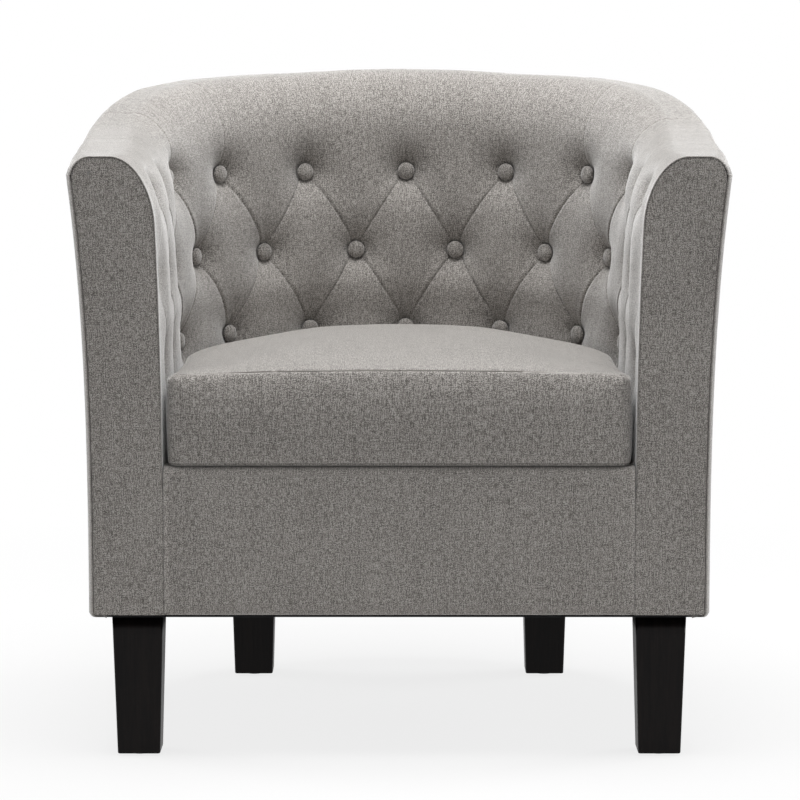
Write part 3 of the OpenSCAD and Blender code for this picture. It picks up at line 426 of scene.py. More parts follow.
# Each button's pit is flat under the button, steep beside it and wide beyond
PIT_FLOOR_R, PIT_STEEP, PIT_WIDE, PIT_WIDE_SHARE, PIT_SHARE = 0.008, 0.011, 0.05, 0.45, 0.86
# Towards the fronts of the arms the folds grow fainter
END_FOLD_KEEP, END_FOLD_FROM, END_FOLD_RUN = 0.15, 0.12, 0.18


def tuft_place(s, z):
    """The place between buttons, in columns round the wall and rows from 0 to 1 up it."""
    return ((s - TUFT_SHIFT) / TUFT_PITCH,
            np.clip((z - LOW_ROW) / (TOP_ROW - LOW_ROW), 0, 1))


def fold_bow(s, z):
    """How far the cloth is drawn along the row, so that the folds bow outwards."""
    col, row = tuft_place(s, z)
    down = 1 - (2 * row) % 1
    a = np.abs(col + row - np.rint(col + row))
    b = np.abs(col - row - np.rint(col - row))
    bow = FOLD_BOW * np.sqrt(down % 1) * (1 - down ** 8)
    return bow * (b - a) / (a + b + 0.02)


def fold_gap(s, z):
    """Millimetres to the nearest fold, the way to it, and the place between buttons."""
    col, row = tuft_place(s, z)
    on_a, on_b = col + row - np.rint(col + row), -(col - row - np.rint(col - row))
    first = np.abs(on_a) < np.abs(on_b)
    upright = (row <= 0) | (row >= 1)
    gap = np.where(first, on_a, on_b) * np.where(upright, UPRIGHT_GAP, SLANT_GAP)
    way_s = np.where(first, 1, -1) * np.where(upright, 1, SLANT_ACROSS)
    way_z = np.where(upright, 0, SLANT_UP)
    return gap, way_s, way_z, on_a, on_b


def fold_gather(s, z):
    """Draws the cloth beside each fold in towards it, so that the crease is narrow."""
    gap, way_s, way_z, _, _ = fold_gap(s, z)
    pull = -GATHER * np.sign(gap) * np.exp(-((np.abs(gap) - GATHER_AT) / GATHER_RUN) ** 2)
    pull = np.where(np.abs(gap) < 0.3, 0, pull)
    return way_s * pull, way_z * pull


def crest_rise(z):
    """The pillows stand prouder above the cushion than behind it."""
    return CREST_MORE * eased((z - CREST_FROM) / CREST_BLEND)


def front_share(s):
    """One along the wall, falling to none where the cloth meets the facings."""
    return eased((HALF_LEN - FACE_T - np.abs(s)) / FRONT_RUN)


def fold_dip(s, z, t):
    """How deep the buttons, the folds and the pillows' shape draw the cloth in."""
    gap, _, _, on_a, on_b = fold_gap(s, z)
    col, row = tuft_place(s, z)
    a, b = np.abs(np.sin(np.pi * (col + row))), np.abs(np.sin(np.pi * (col - row)))
    pillow = (a * b) ** 0.6
    rise = np.maximum(0, z - TOP_ROW) + t
    fall = np.maximum(0, LOW_ROW - z)
    above = np.clip(rise / PLEAT_RUN, 0, 1)
    below = np.clip(fall / (LOW_ROW - PAD_Z), 0, 1)
    keep = np.where(z > (LOW_ROW + TOP_ROW) / 2, mixed(1, PLEAT_KEEP, eased(above)),
                    mixed(1, TAIL_KEEP, eased(below)))
    to_button = np.hypot(TUFT_PITCH / 2 * (on_a - on_b),
                         np.hypot(HALF_ROWS * (on_a + on_b), rise + fall))
    off = np.maximum(0, to_button - PIT_FLOOR_R)
    pit = mixed(np.exp(-off / PIT_STEEP), np.clip(1 - off / PIT_WIDE, 0, 1) ** 2,
                PIT_WIDE_SHARE)
    upright = (row <= 0) | (row >= 1)
    # The cloth above each fold hangs over a thin crease
    crease = np.exp(-(gap / CREASE_W) ** 2)
    lip = np.exp(-((gap - LIP_AT) / LIP_W) ** 2) * np.where(upright, 0, 1)
    fade = mixed(1, FOLD_KEEP, eased(above)) * mixed(1, FOLD_KEEP, eased(below))
    near_end = mixed(END_FOLD_KEEP, 1, eased((HALF_LEN - END_FOLD_FROM - np.abs(s))
                                             / END_FOLD_RUN))
    deep = (TUFT_DEPTH + crest_rise(z)) * mixed(keep * (1 - pillow), pit, PIT_SHARE)
    fold = fade * near_end * (CREASE_DEPTH * crease - LIP_RISE * lip)
    return front_share(s) * (deep + fold)


# Back of the wadding, from the hem's fold down behind it: how far out, and how far below
# the rim
WADDING_BACK = [(0.0818, HEM_H + 0.0007), (0.0808, HEM_H), (0.0768, 0.0135),
                (0.02975, 0.0135), (0.0155, 0.041)]
ROLL_IN_R, ROLL_OUT_R, TURNED_IN, WADDING_END = 0.0011, 0.0013, 0.006, 0.0111
COVER_WAVES = ((0.0008, 17, 3.1), (0.00035, 52, 7.7))


def section(s, row):
    """Distance outwards, height, lean share and the way out of the cloth, row by row."""
    rim = rim_at(s)
    seat_share = lean_share(s)
    t, z, share = np.zeros_like(s), np.zeros_like(s), seat_share.copy()
    way_t, way_z, depth = -np.ones_like(s), np.zeros_like(s), np.zeros_like(s)
    tufts, rolls = LOW_STEPS, LOW_STEPS + TUFT_STEPS
    step = row - rolls - ROLL_STEPS
    inner = step <= 0
    z = np.where(row <= tufts, mixed(PAD_Z, LOW_ROW, row / tufts), z)
    z = np.where((row > tufts) & (row <= rolls),
                 mixed(LOW_ROW, TOP_ROW, (row - tufts) / TUFT_STEPS), z)
    roll = np.sin(np.pi / 2 * np.clip((row - rolls) / ROLL_STEPS, 0, 1))
    z = np.where((row > rolls) & inner, mixed(TOP_ROW, rim, roll), z)
    turn = np.arcsin(np.clip((z - rim + CORNER_H) / CORNER_H, 0, 1))
    t = np.where(inner, CORNER_W * (1 - np.cos(turn)), t)
    size = np.hypot(np.cos(turn) / CORNER_W, np.sin(turn) / CORNER_H)
    way_t = np.where(inner, -np.cos(turn) / CORNER_W / size, way_t)
    way_z = np.where(inner, np.sin(turn) / CORNER_H / size, way_z)
    crest = (CREST + crest_rise(z)) * np.cos(turn)
    crest = crest * front_share(s)
    dip = fold_dip(s, z, np.where(turn <= 0, 0, t))
    depth = np.where(inner, crest - dip, 0)
    # Flat top and outer round, down to the hem
    top = (step > 0) & (step <= FLAT_STEPS)
    around = (step > FLAT_STEPS) & (step <= HEM_STEP)
    edge_r = edge_at(s)
    t = np.where(top, mixed(CORNER_W, WALL_T - edge_r, step / FLAT_STEPS), t)
    full_bend = np.arccos(np.clip(1 - (HEM_H - 0.0008) / edge_r, 0, 1))
    bend = np.clip((step - FLAT_STEPS) / ROUND_STEPS, 0, 1) * full_bend
    t = np.where(around, WALL_T - edge_r * (1 - np.sin(bend)), t)
    z = np.where(top | around, rim - edge_r * (1 - np.cos(bend)) * around, z)
    z = np.where(step == HEM_STEP, rim - HEM_H, z)
    way_t = np.where(top | around, np.sin(bend) * around, way_t)
    way_z = np.where(top | around, np.where(around, np.cos(bend), 1), way_z)
    t = t - draw_in(s) * eased((step - 1) / 7)
    fade = mixed(1, 0.25, np.clip(step / 10, 0, 1))
    rim_dip = fold_dip(s, rim, np.full_like(s, CORNER_W)) * fade
    depth = np.where(top | around, -rim_dip * (step < HEM_STEP), depth)
    share = np.where(top, mixed(seat_share, 1, np.clip(step / FLAT_STEPS, 0, 1)), share)
    share = np.where(step > FLAT_STEPS, 1, share)
    for number, (out, below) in enumerate(WADDING_BACK, HEM_STEP + 1):
        t = np.where(step == number, out - draw_in(s), t)
        z = np.where(step == number, rim - below, z)
    out, below = WADDING_BACK[-1]
    last = HEM_STEP + len(WADDING_BACK)
    t = np.where(step > last, out, t)
    z = np.where(step > last, mixed(rim - below, PAD_Z, np.clip((step - last) / 4, 0, 1)), z)
    return t, z, share, way_t, way_z, depth


def place_cover(column, row):
    steps = last_column - first_column
    k = np.clip(column - ROLL_COLUMNS, 0, steps)
    s = TUFT_SHIFT + (first_column + k) * COLUMN
    past = np.maximum(column - ROLL_COLUMNS - steps, ROLL_COLUMNS - column)
    side = np.where(column < ROLL_COLUMNS, -1, 1)
    step = row - (LOW_STEPS + TUFT_STEPS + ROLL_STEPS)
    r = mixed(ROLL_IN_R, ROLL_OUT_R, eased((step - 2) / 8))
    end = HALF_LEN - FRONT_KEEP
    swing = np.clip((past - 1) / 5, 0, 1) * np.pi / 2
    rolled = past > 0
    s = np.where(rolled, side * (end - r * (1 - np.sin(swing))), s)
    t, z, share, way_t, way_z, depth = section(s, row)
    depth = np.where(rolled, -r * (1 - np.cos(swing)), depth)
    s = np.where(past > 6, side * (end - TURNED_IN), s)
    back = step > HEM_STEP
    s = np.where(back, np.clip(s, WADDING_END - HALF_LEN, HALF_LEN - WADDING_END), s)
    depth = np.where(back, 0, depth)
    plain = spot(s, IN_R + t + lean_at(z) * share, z)
    calm = eased((HALF_LEN - 0.012 - np.abs(s)) / 0.03) * (step < HEM_STEP - 1)
    depth = depth + ripples(plain, COVER_WAVES) * calm
    on_face = (step <= 0) * calm
    gather_s, gather_z = fold_gather(s, z)
    bow = fold_bow(s, z) * (step <= -ROLL_STEPS) * calm
    s = s + bow + gather_s * on_face
    out = IN_R + t + lean_at(z) * share + way_t * depth
    points = spot(s, out, z + way_z * depth + gather_z * on_face)
    # The weave runs with the arc one way, and with the length up the section the other
    order = np.lexsort((row, column))
    length = np.zeros(len(row))
    ordered = plain[order].reshape(column.max() + 1, row.max() + 1, 3)
    runs = np.concatenate([np.zeros((len(ordered), 1)),
                           np.cumsum(np.linalg.norm(np.diff(ordered, axis=1), axis=2), 1)], 1)
    length[order] = runs.ravel()
    return points, np.stack([s + side * 0.0015 * past * rolled, length], -1)


cover_rows = LOW_STEPS + TUFT_STEPS + ROLL_STEPS + LAST_STEP
cover_columns = last_column - first_column + 2 * ROLL_COLUMNS
cover, cover_column, cover_row = shaped_grid(cover_columns, cover_rows, place_cover)
cover.verts.ensure_lookup_table()
at = {}
for index, pair in enumerate(zip(cover_column.tolist(), cover_row.tolist())):
    at[pair] = cover.verts[index]
for c in range(ROLL_COLUMNS, cover_columns - ROLL_COLUMNS):
    k = first_column + c - ROLL_COLUMNS
    for r in range(TUFT_STEPS):
        low = r + LOW_STEPS
        if (k + r + 1) % TUFT_STEPS == 0:
            ends = at[c, low + 1], at[c + 1, low]
        elif (k - r) % TUFT_STEPS == 0:
            ends = at[c, low], at[c + 1, low + 1]
        else:
            continue
        face = set(ends[0].link_faces) & set(ends[1].link_faces)
        bmesh.utils.face_split(face.pop(), *ends)
bottom = [e for e in cover.edges if e.is_boundary and
          all(abs(v.co.z - PAD_Z) < 0.002 for v in e.verts)]
bmesh.ops.bridge_loops(cover, edges=bottom)
bmesh.ops.holes_fill(cover, edges=[e for e in cover.edges if e.is_boundary], sides=0)
bmesh.ops.recalc_face_normals(cover, faces=cover.faces)
inside_cover = make_piece("inside_cover", cover, "frame", grey_linen,
                          ("inside_arm_left", "inside_back", "inside_arm_right"))


# Buttons: mushroom shells covered in the same cloth, pulled into the wadding by waxed
# twine that runs through the foam and the board to a clasp behind each.
def face_spot(s, z):
    """Where a button sits in its pit, and the way that it faces there."""
    s, z = np.array([float(s)]), np.array([float(z)])
    turn = np.arcsin(np.clip((z - rim_at(s) + CORNER_H) / CORNER_H, 0, 1))
    t = CORNER_W * (1 - np.cos(turn))
    way = np.array([-math.cos(turn[0]) / CORNER_W, math.sin(turn[0]) / CORNER_H])
    way /= np.linalg.norm(way)
    rise = CREST * math.cos(turn[0]) - TUFT_DEPTH
    out = IN_R + t + lean_at(z) * lean_share(s) + way[0] * rise
    return Vector(spot(s, out, z + way[1] * rise)[0]), way


def copies(form, places):
    """One form with a copy of the given one set at each place."""
    mesh = bpy.data.meshes.new("form")
    form.to_mesh(mesh)
    form.free()
    many = bmesh.new()
    for place in places:
        start = len(many.verts)
        many.from_mesh(mesh)
        many.verts.ensure_lookup_table()
        bmesh.ops.transform(many, verts=many.verts[start:], matrix=place)
    bpy.data.meshes.remove(mesh)
    return many


button_places = []
for level, shift in ((LOW_ROW, 0), ((LOW_ROW + TOP_ROW) / 2, TUFT_PITCH / 2), (TOP_ROW, 0)):
    for k in range(-6 if shift else -5, 6):
        s_here = k * TUFT_PITCH + shift + TUFT_SHIFT
        if abs(s_here) < HALF_LEN - FACE_T - FRONT_RUN / 2:
            button_places.append((s_here, level))

BUTTON_R, BUTTON_LIFT, BUTTON_DOME, BUTTON_RIM = 0.0106, 0.0060, 0.0046, 0.0018
BUTTON_TILT, BUTTON_TWIST = 0.12, 0.35
outline = [(0.0025, -0.0040), (0.0085, -0.0008), (0.0104, -0.0002),
           (BUTTON_R, BUTTON_RIM / 2)]
for step in range(1, 9):
    turn = math.pi / 2 * step / 8
    outline.append((BUTTON_R * math.cos(turn) ** 0.8 if step < 8 else 0,
                    BUTTON_RIM / 2 + BUTTON_DOME * math.sin(turn)))
button = bmesh.new()
points = [button.verts.new((x, 0, z)) for x, z in outline]
edges = [button.edges.new(pair) for pair in zip(points, points[1:])]
bmesh.ops.spin(button, geom=points + edges, axis=(0, 0, 1), cent=(0, 0, 0),
               angle=2 * math.pi, steps=28, use_merge=True)
bmesh.ops.remove_doubles(button, verts=button.verts, dist=1e-6)
bmesh.ops.holes_fill(button, edges=button.edges, sides=0)
bmesh.ops.recalc_face_normals(button, faces=button.faces)
shell = np.array([vert.co[:2] for vert in button.verts])
placed, weave = [], []
for number, (s_here, level) in enumerate(button_places):
    point, way = face_spot(s_here, level)
    turn = math.copysign(min(abs(s_here), HALF_ARC), s_here) / ROUND_R
    outward = Vector((math.sin(turn), math.cos(turn), 0))
    normal = (outward * way[0] + Vector((0, 0, way[1]))).normalized()
    tilt = Vector((noise.noise(Vector((number, 1, 0))), noise.noise(Vector((0, number, 2))),
                   noise.noise(Vector((3, 0, number))))) * BUTTON_TILT
    turned = (normal + tilt).normalized().to_track_quat("Z", "Y").to_matrix().to_4x4()
    placed.append(Matrix.Translation(point + normal * BUTTON_LIFT) @ turned)
    grain = BUTTON_TWIST * noise.noise(Vector((number, 5, 9)))
    weave.append(shell @ np.array([[math.cos(grain), math.sin(grain)],
                                   [-math.sin(grain), math.cos(grain)]])
                 + [0.37 * number, 0.21 * number])
covered_buttons = make_piece("covered_buttons", copies(button, placed), "frame", grey_linen,
                             ("tufting_buttons",)).data
lay_weave(covered_buttons, np.concatenate(weave)[face_corners(covered_buttons)])


# Outside cover: one plain run of the same cloth round the outsides of the arms and the
# back, tacked along the rim under the inside cover's hem, turned in under the seat box
# and round the front edges, where it meets the facings in a seam.
OUT_STEP, OUT_ROLL = 0.006, 12
UNDER_ROWS, LOW_BEND_ROWS, UP_ROWS, TUCK_ROWS = 4, 5, 40, 2
UNDER_RUN, LOW_BEND_R, FRONT_BEND_R = 0.016, 0.0045, 0.0013
OUT_TUCK = ((0.0007, 0.0003), (0.0022, 0.0010))  # how far in, and above the hem
OUT_WAVES = ((0.0005, 9, 5.3), (0.00022, 31, 2.9))
PULL_RISE, PULL_FADE, PULL_PITCH = 0.0007, 0.018, 0.0095
out_half = int((HALF_LEN - 0.0052) / OUT_STEP)


def place_outside(column, row):
    k = np.clip(column - OUT_ROLL, 0, 2 * out_half) - out_half
    end, r, low = HALF_LEN - FRONT_KEEP, FRONT_BEND_R, BOX_Z
    past = np.maximum(column - OUT_ROLL - 2 * out_half, OUT_ROLL - column)
    side = np.where(column < OUT_ROLL, -1, 1)
    s = k * OUT_STEP
    swing = np.clip((past - 5) / 6, 0, 1) * np.pi / 2
    rolled = past > 0
    s = np.where(rolled, mixed(s, side * (end - r), np.clip(past / 5, 0, 1)), s)
    s = np.where(past > 5, side * (end - r * (1 - np.sin(swing))), s)
    s = np.where(past > 11, side * (end - TURNED_IN), s)
    hem = rim_at(s) - HEM_H
    bend_end = UNDER_ROWS + LOW_BEND_ROWS
    tuck = bend_end + UP_ROWS + 1
    t = np.full_like(s, WALL_T)
    z = np.full_like(s, low)
    under = row <= UNDER_ROWS
    t = np.where(under, mixed(WALL_T - UNDER_RUN, WALL_T - LOW_BEND_R, row / UNDER_ROWS), t)
    bend = np.clip((row - UNDER_ROWS) / LOW_BEND_ROWS, 0, 1) * np.pi / 2
    bent = ~under & (row <= bend_end)
    t = np.where(bent, WALL_T - LOW_BEND_R * (1 - np.sin(bend)), t)
    z = np.where(bent, low + LOW_BEND_R * (1 - np.cos(bend)), z)
    up = np.clip((row - bend_end) / UP_ROWS, 0, 1)
    z = np.where(row > bend_end, mixed(low + LOW_BEND_R, hem - 0.0004, up), z)
    for number, (in_by, above) in enumerate(OUT_TUCK, tuck):
        t = np.where(row == number, WALL_T - in_by, t)
        z = np.where(row == number, hem + above, z)
    inward = np.where(rolled, r * (1 - np.cos(swing)), 0)
    t = t - np.where(under, 0, inward) - draw_in(s)
    plain = spot(s, IN_R + t + lean_at(z), z)
    calm = eased((HALF_LEN - 0.006 - np.abs(s)) / 0.04) * eased((z - low - 0.006) / 0.05)
    calm = calm * eased((hem - z) / 0.03)
    # Tacks pull small folds down from the rim's hem
    pull = PULL_RISE * np.exp((z - hem) / PULL_FADE) * calm
    pull = pull * np.sin(s / PULL_PITCH + 4 * np.sin(s * 31))
    ripple = (ripples(plain, OUT_WAVES) + pull) * calm
    points = spot(s, IN_R + t + lean_at(z) + ripple, z)
    length = np.where(row <= bend_end, (row - UNDER_ROWS) * 0.002, z - low)
    return points, np.stack([s + side * 0.001 * past * rolled, length], -1)


def face_outwards(sheet, way):
    """Turns the faces of an open sheet towards the side that it is seen from."""
    bmesh.ops.recalc_face_normals(sheet, faces=sheet.faces)
    if sum(f.normal.dot(way) for f in sheet.faces) < 0:
        bmesh.ops.reverse_faces(sheet, faces=sheet.faces)


outside, _, _ = shaped_grid(2 * (out_half + OUT_ROLL),
                            UNDER_ROWS + LOW_BEND_ROWS + UP_ROWS + TUCK_ROWS, place_outside)
face_outwards(outside, Vector((0, 1, 0)))
outside_cloth = make_piece("outside_cloth", outside, "frame", grey_linen,
                           ("outside_cover",), thick=0.0012)


# Arm facings: a shaped board with thin wadding under cloth, one on the front of each arm.
# It is drawn tight over its rounded edge, and the cover of the arm meets it in a seam.
FACING_LOW, FACING_AT_RAIL = BOX_Z + 0.0017, 0.0016


def facing_outline(inset_seat, inset_side, count_low=26):
    """Points round the end of the wall: up the seat side, over the rim, down outside."""
    low, points = FACING_LOW, []
    for i in range(count_low):
        z = mixed(low, ARM_H - CORNER_H, i / count_low)
        at_rail = FACING_AT_RAIL * (1 - eased((z - PAD_Z + 0.01) / 0.02))
        points.append((IN_R + lean_at(z) * SEAT_LEAN + inset_seat - at_rail, z))
    for i in range(13):
        turn = math.pi / 2 * i / 12
        z = ARM_H - CORNER_H * (1 - math.sin(turn))
        size = math.hypot(math.cos(turn) / CORNER_W, math.sin(turn) / CORNER_H)
        t = CORNER_W * (1 - math.cos(turn)) + inset_seat * math.cos(turn) / CORNER_W / size
        points.append((IN_R + t + lean_at(z) * SEAT_LEAN,
                       z - inset_seat * math.sin(turn) / CORNER_H / size))
    for i in range(1, 5):
        t = mixed(CORNER_W, WALL_T - FRONT_EDGE_R, i / 4)
        points.append((IN_R + t + lean_at(ARM_H) * mixed(SEAT_LEAN, 1, i / 4),
                       ARM_H - inset_seat))
    for i in range(1, 15):
        turn = math.pi / 2 * i / 14
        inset = mixed(inset_seat, inset_side, eased(i / 10))
        t = WALL_T - FRONT_EDGE_R + (FRONT_EDGE_R - inset) * math.sin(turn)
        z = ARM_H - FRONT_EDGE_R + (FRONT_EDGE_R - inset) * math.cos(turn)
        points.append((IN_R + t + lean_at(z), z))
    for i in range(1, count_low + 1):
        z = mixed(ARM_H - FRONT_EDGE_R, low, i / count_low)
        points.append((IN_R + WALL_T - inset_side + lean_at(z), z))
    return points


def loft(rings):
    """A form through rings of points, each joined to the next, with both ends shut."""
    form, loops = bmesh.new(), []
    for ring in rings:
        made = [form.verts.new(point) for point in ring]
        loops.append([form.edges.new(pair) for pair in zip(made, made[1:] + made[:1])])
    for one, two in zip(loops, loops[1:]):
        bmesh.ops.bridge_loops(form, edges=one + two)
    bmesh.ops.holes_fill(form, edges=loops[0] + loops[-1], sides=0)
    bmesh.ops.recalc_face_normals(form, faces=form.faces)
    return form


# How far back from the front each ring of a facing lies, and how far inside its edge
FACING_EDGES = [(0.0125, -0.0015), (0.0040, 0.0), (0.0022, 0.0), (0.0012, 0.0002),
                (0.0008, 0.0008), (0.0006, 0.0028), (0.0003, 0.0070), (0.0, 0.0120),
                (-0.0002, 0.0190)]
FACING_SEAT_GAP, FACING_SIDE_GAP = 0.0013, 0.0060
for side, name in ((-1, "arm_panel_left"), (1, "arm_panel_right")):
    facing = loft([[(side * x, FRONT_Y + back, max(z, FACING_LOW + inset)) for x, z in
                    facing_outline(FACING_SEAT_GAP + inset, FACING_SIDE_GAP + inset)]
                   for back, inset in FACING_EDGES])
    panel = make_piece(name + "_cloth", facing, "frame", grey_linen, (name,))
    weave = points_of(panel.data)[:, [0, 2]] + [0.4, 0.03 * side]
    lay_weave(panel.data, weave[face_corners(panel.data)])


# Front rail facing: wadding and cloth over the front rail, between the two arm facings.
# It turns in under the box, and over its rounded top edge it runs back to the deck.
RAIL_HALF, RAIL_COLUMNS, RAIL_ENDS, RAIL_END_R = IN_R - 0.0003, 96, 6, 0.0010
RAIL_LOW, RAIL_HIGH, RAIL_LOW_R, RAIL_HIGH_R = BOX_Z + 0.0017, 0.3245, 0.0040, 0.0102
RAIL_ROWS = {"under": 3, "low_bend": 5, "face": 22, "high_bend": 7, "back": 3}
RAIL_UNDER_RUN, RAIL_BACK_RUN, RAIL_END_SINK, RAIL_SWELL = 0.016, 0.0385, 0.0085, 0.0012
RAIL_WAVES, RAIL_DEEPEST = ((0.0006, 11, 4.4), (0.0002, 40, 6.1)), 0.0006


def place_rail(column, row):
    k = np.clip(column - RAIL_ENDS, 0, RAIL_COLUMNS - 2 * RAIL_ENDS)
    k = k / (RAIL_COLUMNS - 2 * RAIL_ENDS)
    past = np.maximum(column - RAIL_COLUMNS + RAIL_ENDS, RAIL_ENDS - column)
    side = np.where(column < RAIL_ENDS, -1, 1)
    swing = np.clip((past - 1) / 4, 0, 1) * np.pi / 2
    r, low, high = RAIL_END_R, RAIL_LOW, RAIL_HIGH
    x = np.where(past > 0, side * (RAIL_HALF - r * (1 - np.sin(swing))),
                 mixed(-RAIL_HALF + r, RAIL_HALF - r, k))
    sink = np.where(past > 0, r * (1 - np.cos(swing)), 0)
    sink = np.where(past > 5, RAIL_END_SINK, sink)
    under, low_end, face_end, high_end = np.cumsum(list(RAIL_ROWS.values()))[:4]
    y = np.full(len(row), FRONT_Y)
    z = np.full(len(row), low)
    y = np.where(row <= under, FRONT_Y + mixed(RAIL_UNDER_RUN, RAIL_LOW_R, row / under), y)
    bend = np.clip((row - under) / RAIL_ROWS["low_bend"], 0, 1) * np.pi / 2
    y = np.where((row > under) & (row <= low_end),
                 FRONT_Y + RAIL_LOW_R * (1 - np.sin(bend)), y)
    z = np.where(row > under, low + RAIL_LOW_R * (1 - np.cos(bend)), z)
    up = np.clip((row - low_end) / RAIL_ROWS["face"], 0, 1)
    z = np.where(row > low_end, mixed(low + RAIL_LOW_R, high - RAIL_HIGH_R, up), z)
    bend = np.clip((row - face_end) / RAIL_ROWS["high_bend"], 0, 1) * np.pi / 2
    z = np.where(row > face_end, high - RAIL_HIGH_R * (1 - np.sin(bend)), z)
    y = np.where(row > face_end, FRONT_Y + RAIL_HIGH_R * (1 - np.cos(bend)), y)
    behind = (row - high_end) / RAIL_ROWS["back"]
    y = np.where(row > high_end, FRONT_Y + mixed(RAIL_HIGH_R, RAIL_BACK_RUN, behind), y)
    face = np.sin(np.pi * np.clip((z - low) / (high - low), 0, 1)) ** 0.6
    plain = np.stack([x, y, z], -1)
    ripple = np.maximum(ripples(plain, RAIL_WAVES), -RAIL_DEEPEST)
    calm = eased((RAIL_HALF - 0.004 - np.abs(x)) / 0.03) * (row >= low_end)
    calm = calm * (row < face_end + 3)
    swell = RAIL_SWELL * face * eased((RAIL_HALF - np.abs(x)) / 0.04)
    y = y + sink * (row < high_end) - (swell + ripple) * calm
    length = np.where(row <= low_end, low - 0.002 * (low_end - row), z)
    length = np.where(row > face_end, high + 0.0022 * (row - face_end), length)
    return np.stack([x, y, z], -1), np.stack([x, length - 0.14], -1)


rail, _, _ = shaped_grid(RAIL_COLUMNS, sum(RAIL_ROWS.values()), place_rail)
face_outwards(rail, Vector((0, -1, 0)))
front_cloth = make_piece("front_rail_cloth", rail, "frame", grey_linen,
                         ("front_rail_cover",), thick=0.0016)


# Seat cushion: a boxed cover of the same cloth, sewn from a top, a bottom and a side
# band, over a foam core with a wrap of wadding that crowns the top. The seams hold its
# edges in and the band swells a little between them. A zip runs round the back.
SEAT_LOW, SEAT_HIGH, SEAT_R, SEAT_FRONT = 0.3256, 0.4296, 0.2515, FRONT_Y + 0.0016
SEAT_Y = ROUND_Y - 0.002
SEAT_CORNER, SEAT_PLAN_SPREAD, SEAT_SWELL, SEAT_REACH = 0.012, 0.0034, 0.0046, 0.012
SEAM_UP = 0.002  # the lower seam stands above the underside
# The stuffing keeps to the room between the walls. The crown is lower towards the sides,
# and the front edge sags over the rail.
PINNED_UP, PINNED_IN = 0.0042, 0.007
CROWN_KEEP, CROWN_SIDE_LOSS, FRONT_SAG = 0.85, 0.42, 0.0034
SEAT_MOST_HALF, SEAT_MOST_R, SEAT_MOST_FRONT = 0.2556, 0.2538, 0.0075
REST_SINK, SAG_SINK = 0.0003, 0.0022
seat_linen = weave_cloth("seat_linen", slubs=1.2)


def seat_plan(inset):
    """Points round the cushion: the right front corner, the round back, the left side."""
    points, corner = [], max(0.0035, SEAT_CORNER - inset * 0.5)
    half = SEAT_R + SEAT_PLAN_SPREAD - inset
    front = SEAT_FRONT + inset
    for i in range(7):
        turn = math.pi / 2 * i / 6
        points.append((half - corner + corner * math.sin(turn),
                       front + corner - corner * math.cos(turn)))
    for i in range(1, 24):
        y = mixed(front + corner, SEAT_Y, i / 24)
        share = eased((y - front - 0.05) / 0.12)
        side_dip = 0.0012 * math.sin(math.pi * i / 24)
        points.append((half - SEAT_PLAN_SPREAD * share - side_dip, y))
    for i in range(61):
        turn = math.pi / 2 - math.pi * i / 60
        r = SEAT_R - inset
        points.append((r * math.sin(turn), SEAT_Y + r * math.cos(turn)))
    points += [(-x, y) for x, y in reversed(points[:30])]
    for i in range(1, 36):
        x = mixed(-half + corner, half - corner, i / 36)
        points.append((x, front))
    return points


# Rings of the cushion from its underside up to its crown: how far in, and how high
SEAT_SHAPE = [(0.060, SEAT_LOW + 0.0006), (0.004, SEAT_LOW + 0.0004),
              (0.0012, SEAT_LOW + 0.0030), (0.0004, SEAT_LOW + 0.02), (0.0, SEAT_LOW + 0.052),
              (0.0004, SEAT_HIGH - 0.02), (0.0010, SEAT_HIGH - 0.001), (0.0022, SEAT_HIGH),
              (0.012, 0.4338), (0.030, 0.4382), (0.062, 0.4432), (0.105, 0.4466),
              (0.160, 0.4482)]
seat = loft([[(x, y, z) for x, y in seat_plan(inset)] for inset, z in SEAT_SHAPE])
bmesh.ops.remove_doubles(seat, verts=seat.verts, dist=1e-5)
bmesh.ops.recalc_face_normals(seat, faces=seat.faces)
cushion = make_piece("seat_cushion", seat, "cushion", seat_linen,
                     ("seat_cushion_cover",))
remesh = cushion.modifiers.new("even_cells", "REMESH")
remesh.mode, remesh.voxel_size = "VOXEL", 0.006


def settle(piece):
    """Gives the piece the mesh that its modifiers make, and takes them off."""
    view = bpy.context.evaluated_depsgraph_get()
    made = bpy.data.meshes.new_from_object(piece.evaluated_get(view))
    piece.modifiers.clear()
    old, piece.data = piece.data, made
    bpy.data.meshes.remove(old)


settle(cushion)
before = points_of(cushion.data)
x, y, z = before.T
edge = np.minimum(np.abs(z - SEAT_HIGH), np.abs(z - SEAT_LOW - SEAM_UP))
inner = np.where(y > SEAT_Y, SEAT_R - np.hypot(x, y - SEAT_Y),
                 np.minimum(SEAT_R + 0.001 - np.abs(x), y - SEAT_FRONT))
seam = (edge < PINNED_UP) & (inner < PINNED_IN)
group = cushion.vertex_groups.new(name="seams")
group.add([int(i) for i in np.flatnonzero(seam)], 1.0, "REPLACE")
cloth = cushion.modifiers.new("stuffing", "CLOTH")
cloth.settings.quality = 6
cloth.settings.use_pressure = True
cloth.settings.uniform_pressure_force = 4
cloth.settings.vertex_group_mass = "seams"
cloth.settings.effector_weights.gravity = 0
cloth.collision_settings.use_collision = False
for number in range(1, 21):
    scene.frame_set(number)
settle(cushion)
scene.frame_set(1)
way = points_of(cushion.data) - before
reach = np.linalg.norm(way, axis=1, keepdims=True)
x, y, z = (before + way * np.minimum(1, SEAT_REACH / np.maximum(reach, 1e-9))).T
rise = z - SEAT_HIGH
flatter = CROWN_KEEP - CROWN_SIDE_LOSS * eased((np.abs(x) - 0.09) / 0.12)
z = np.where(rise > 0, SEAT_HIGH + rise * flatter, z)
sag = eased((0.342 - z) / 0.012) * eased((FRONT_Y + 0.03 - y) / 0.02)
sink = mixed(REST_SINK, SAG_SINK, eased((FRONT_Y + 0.0085 - y) / 0.005))
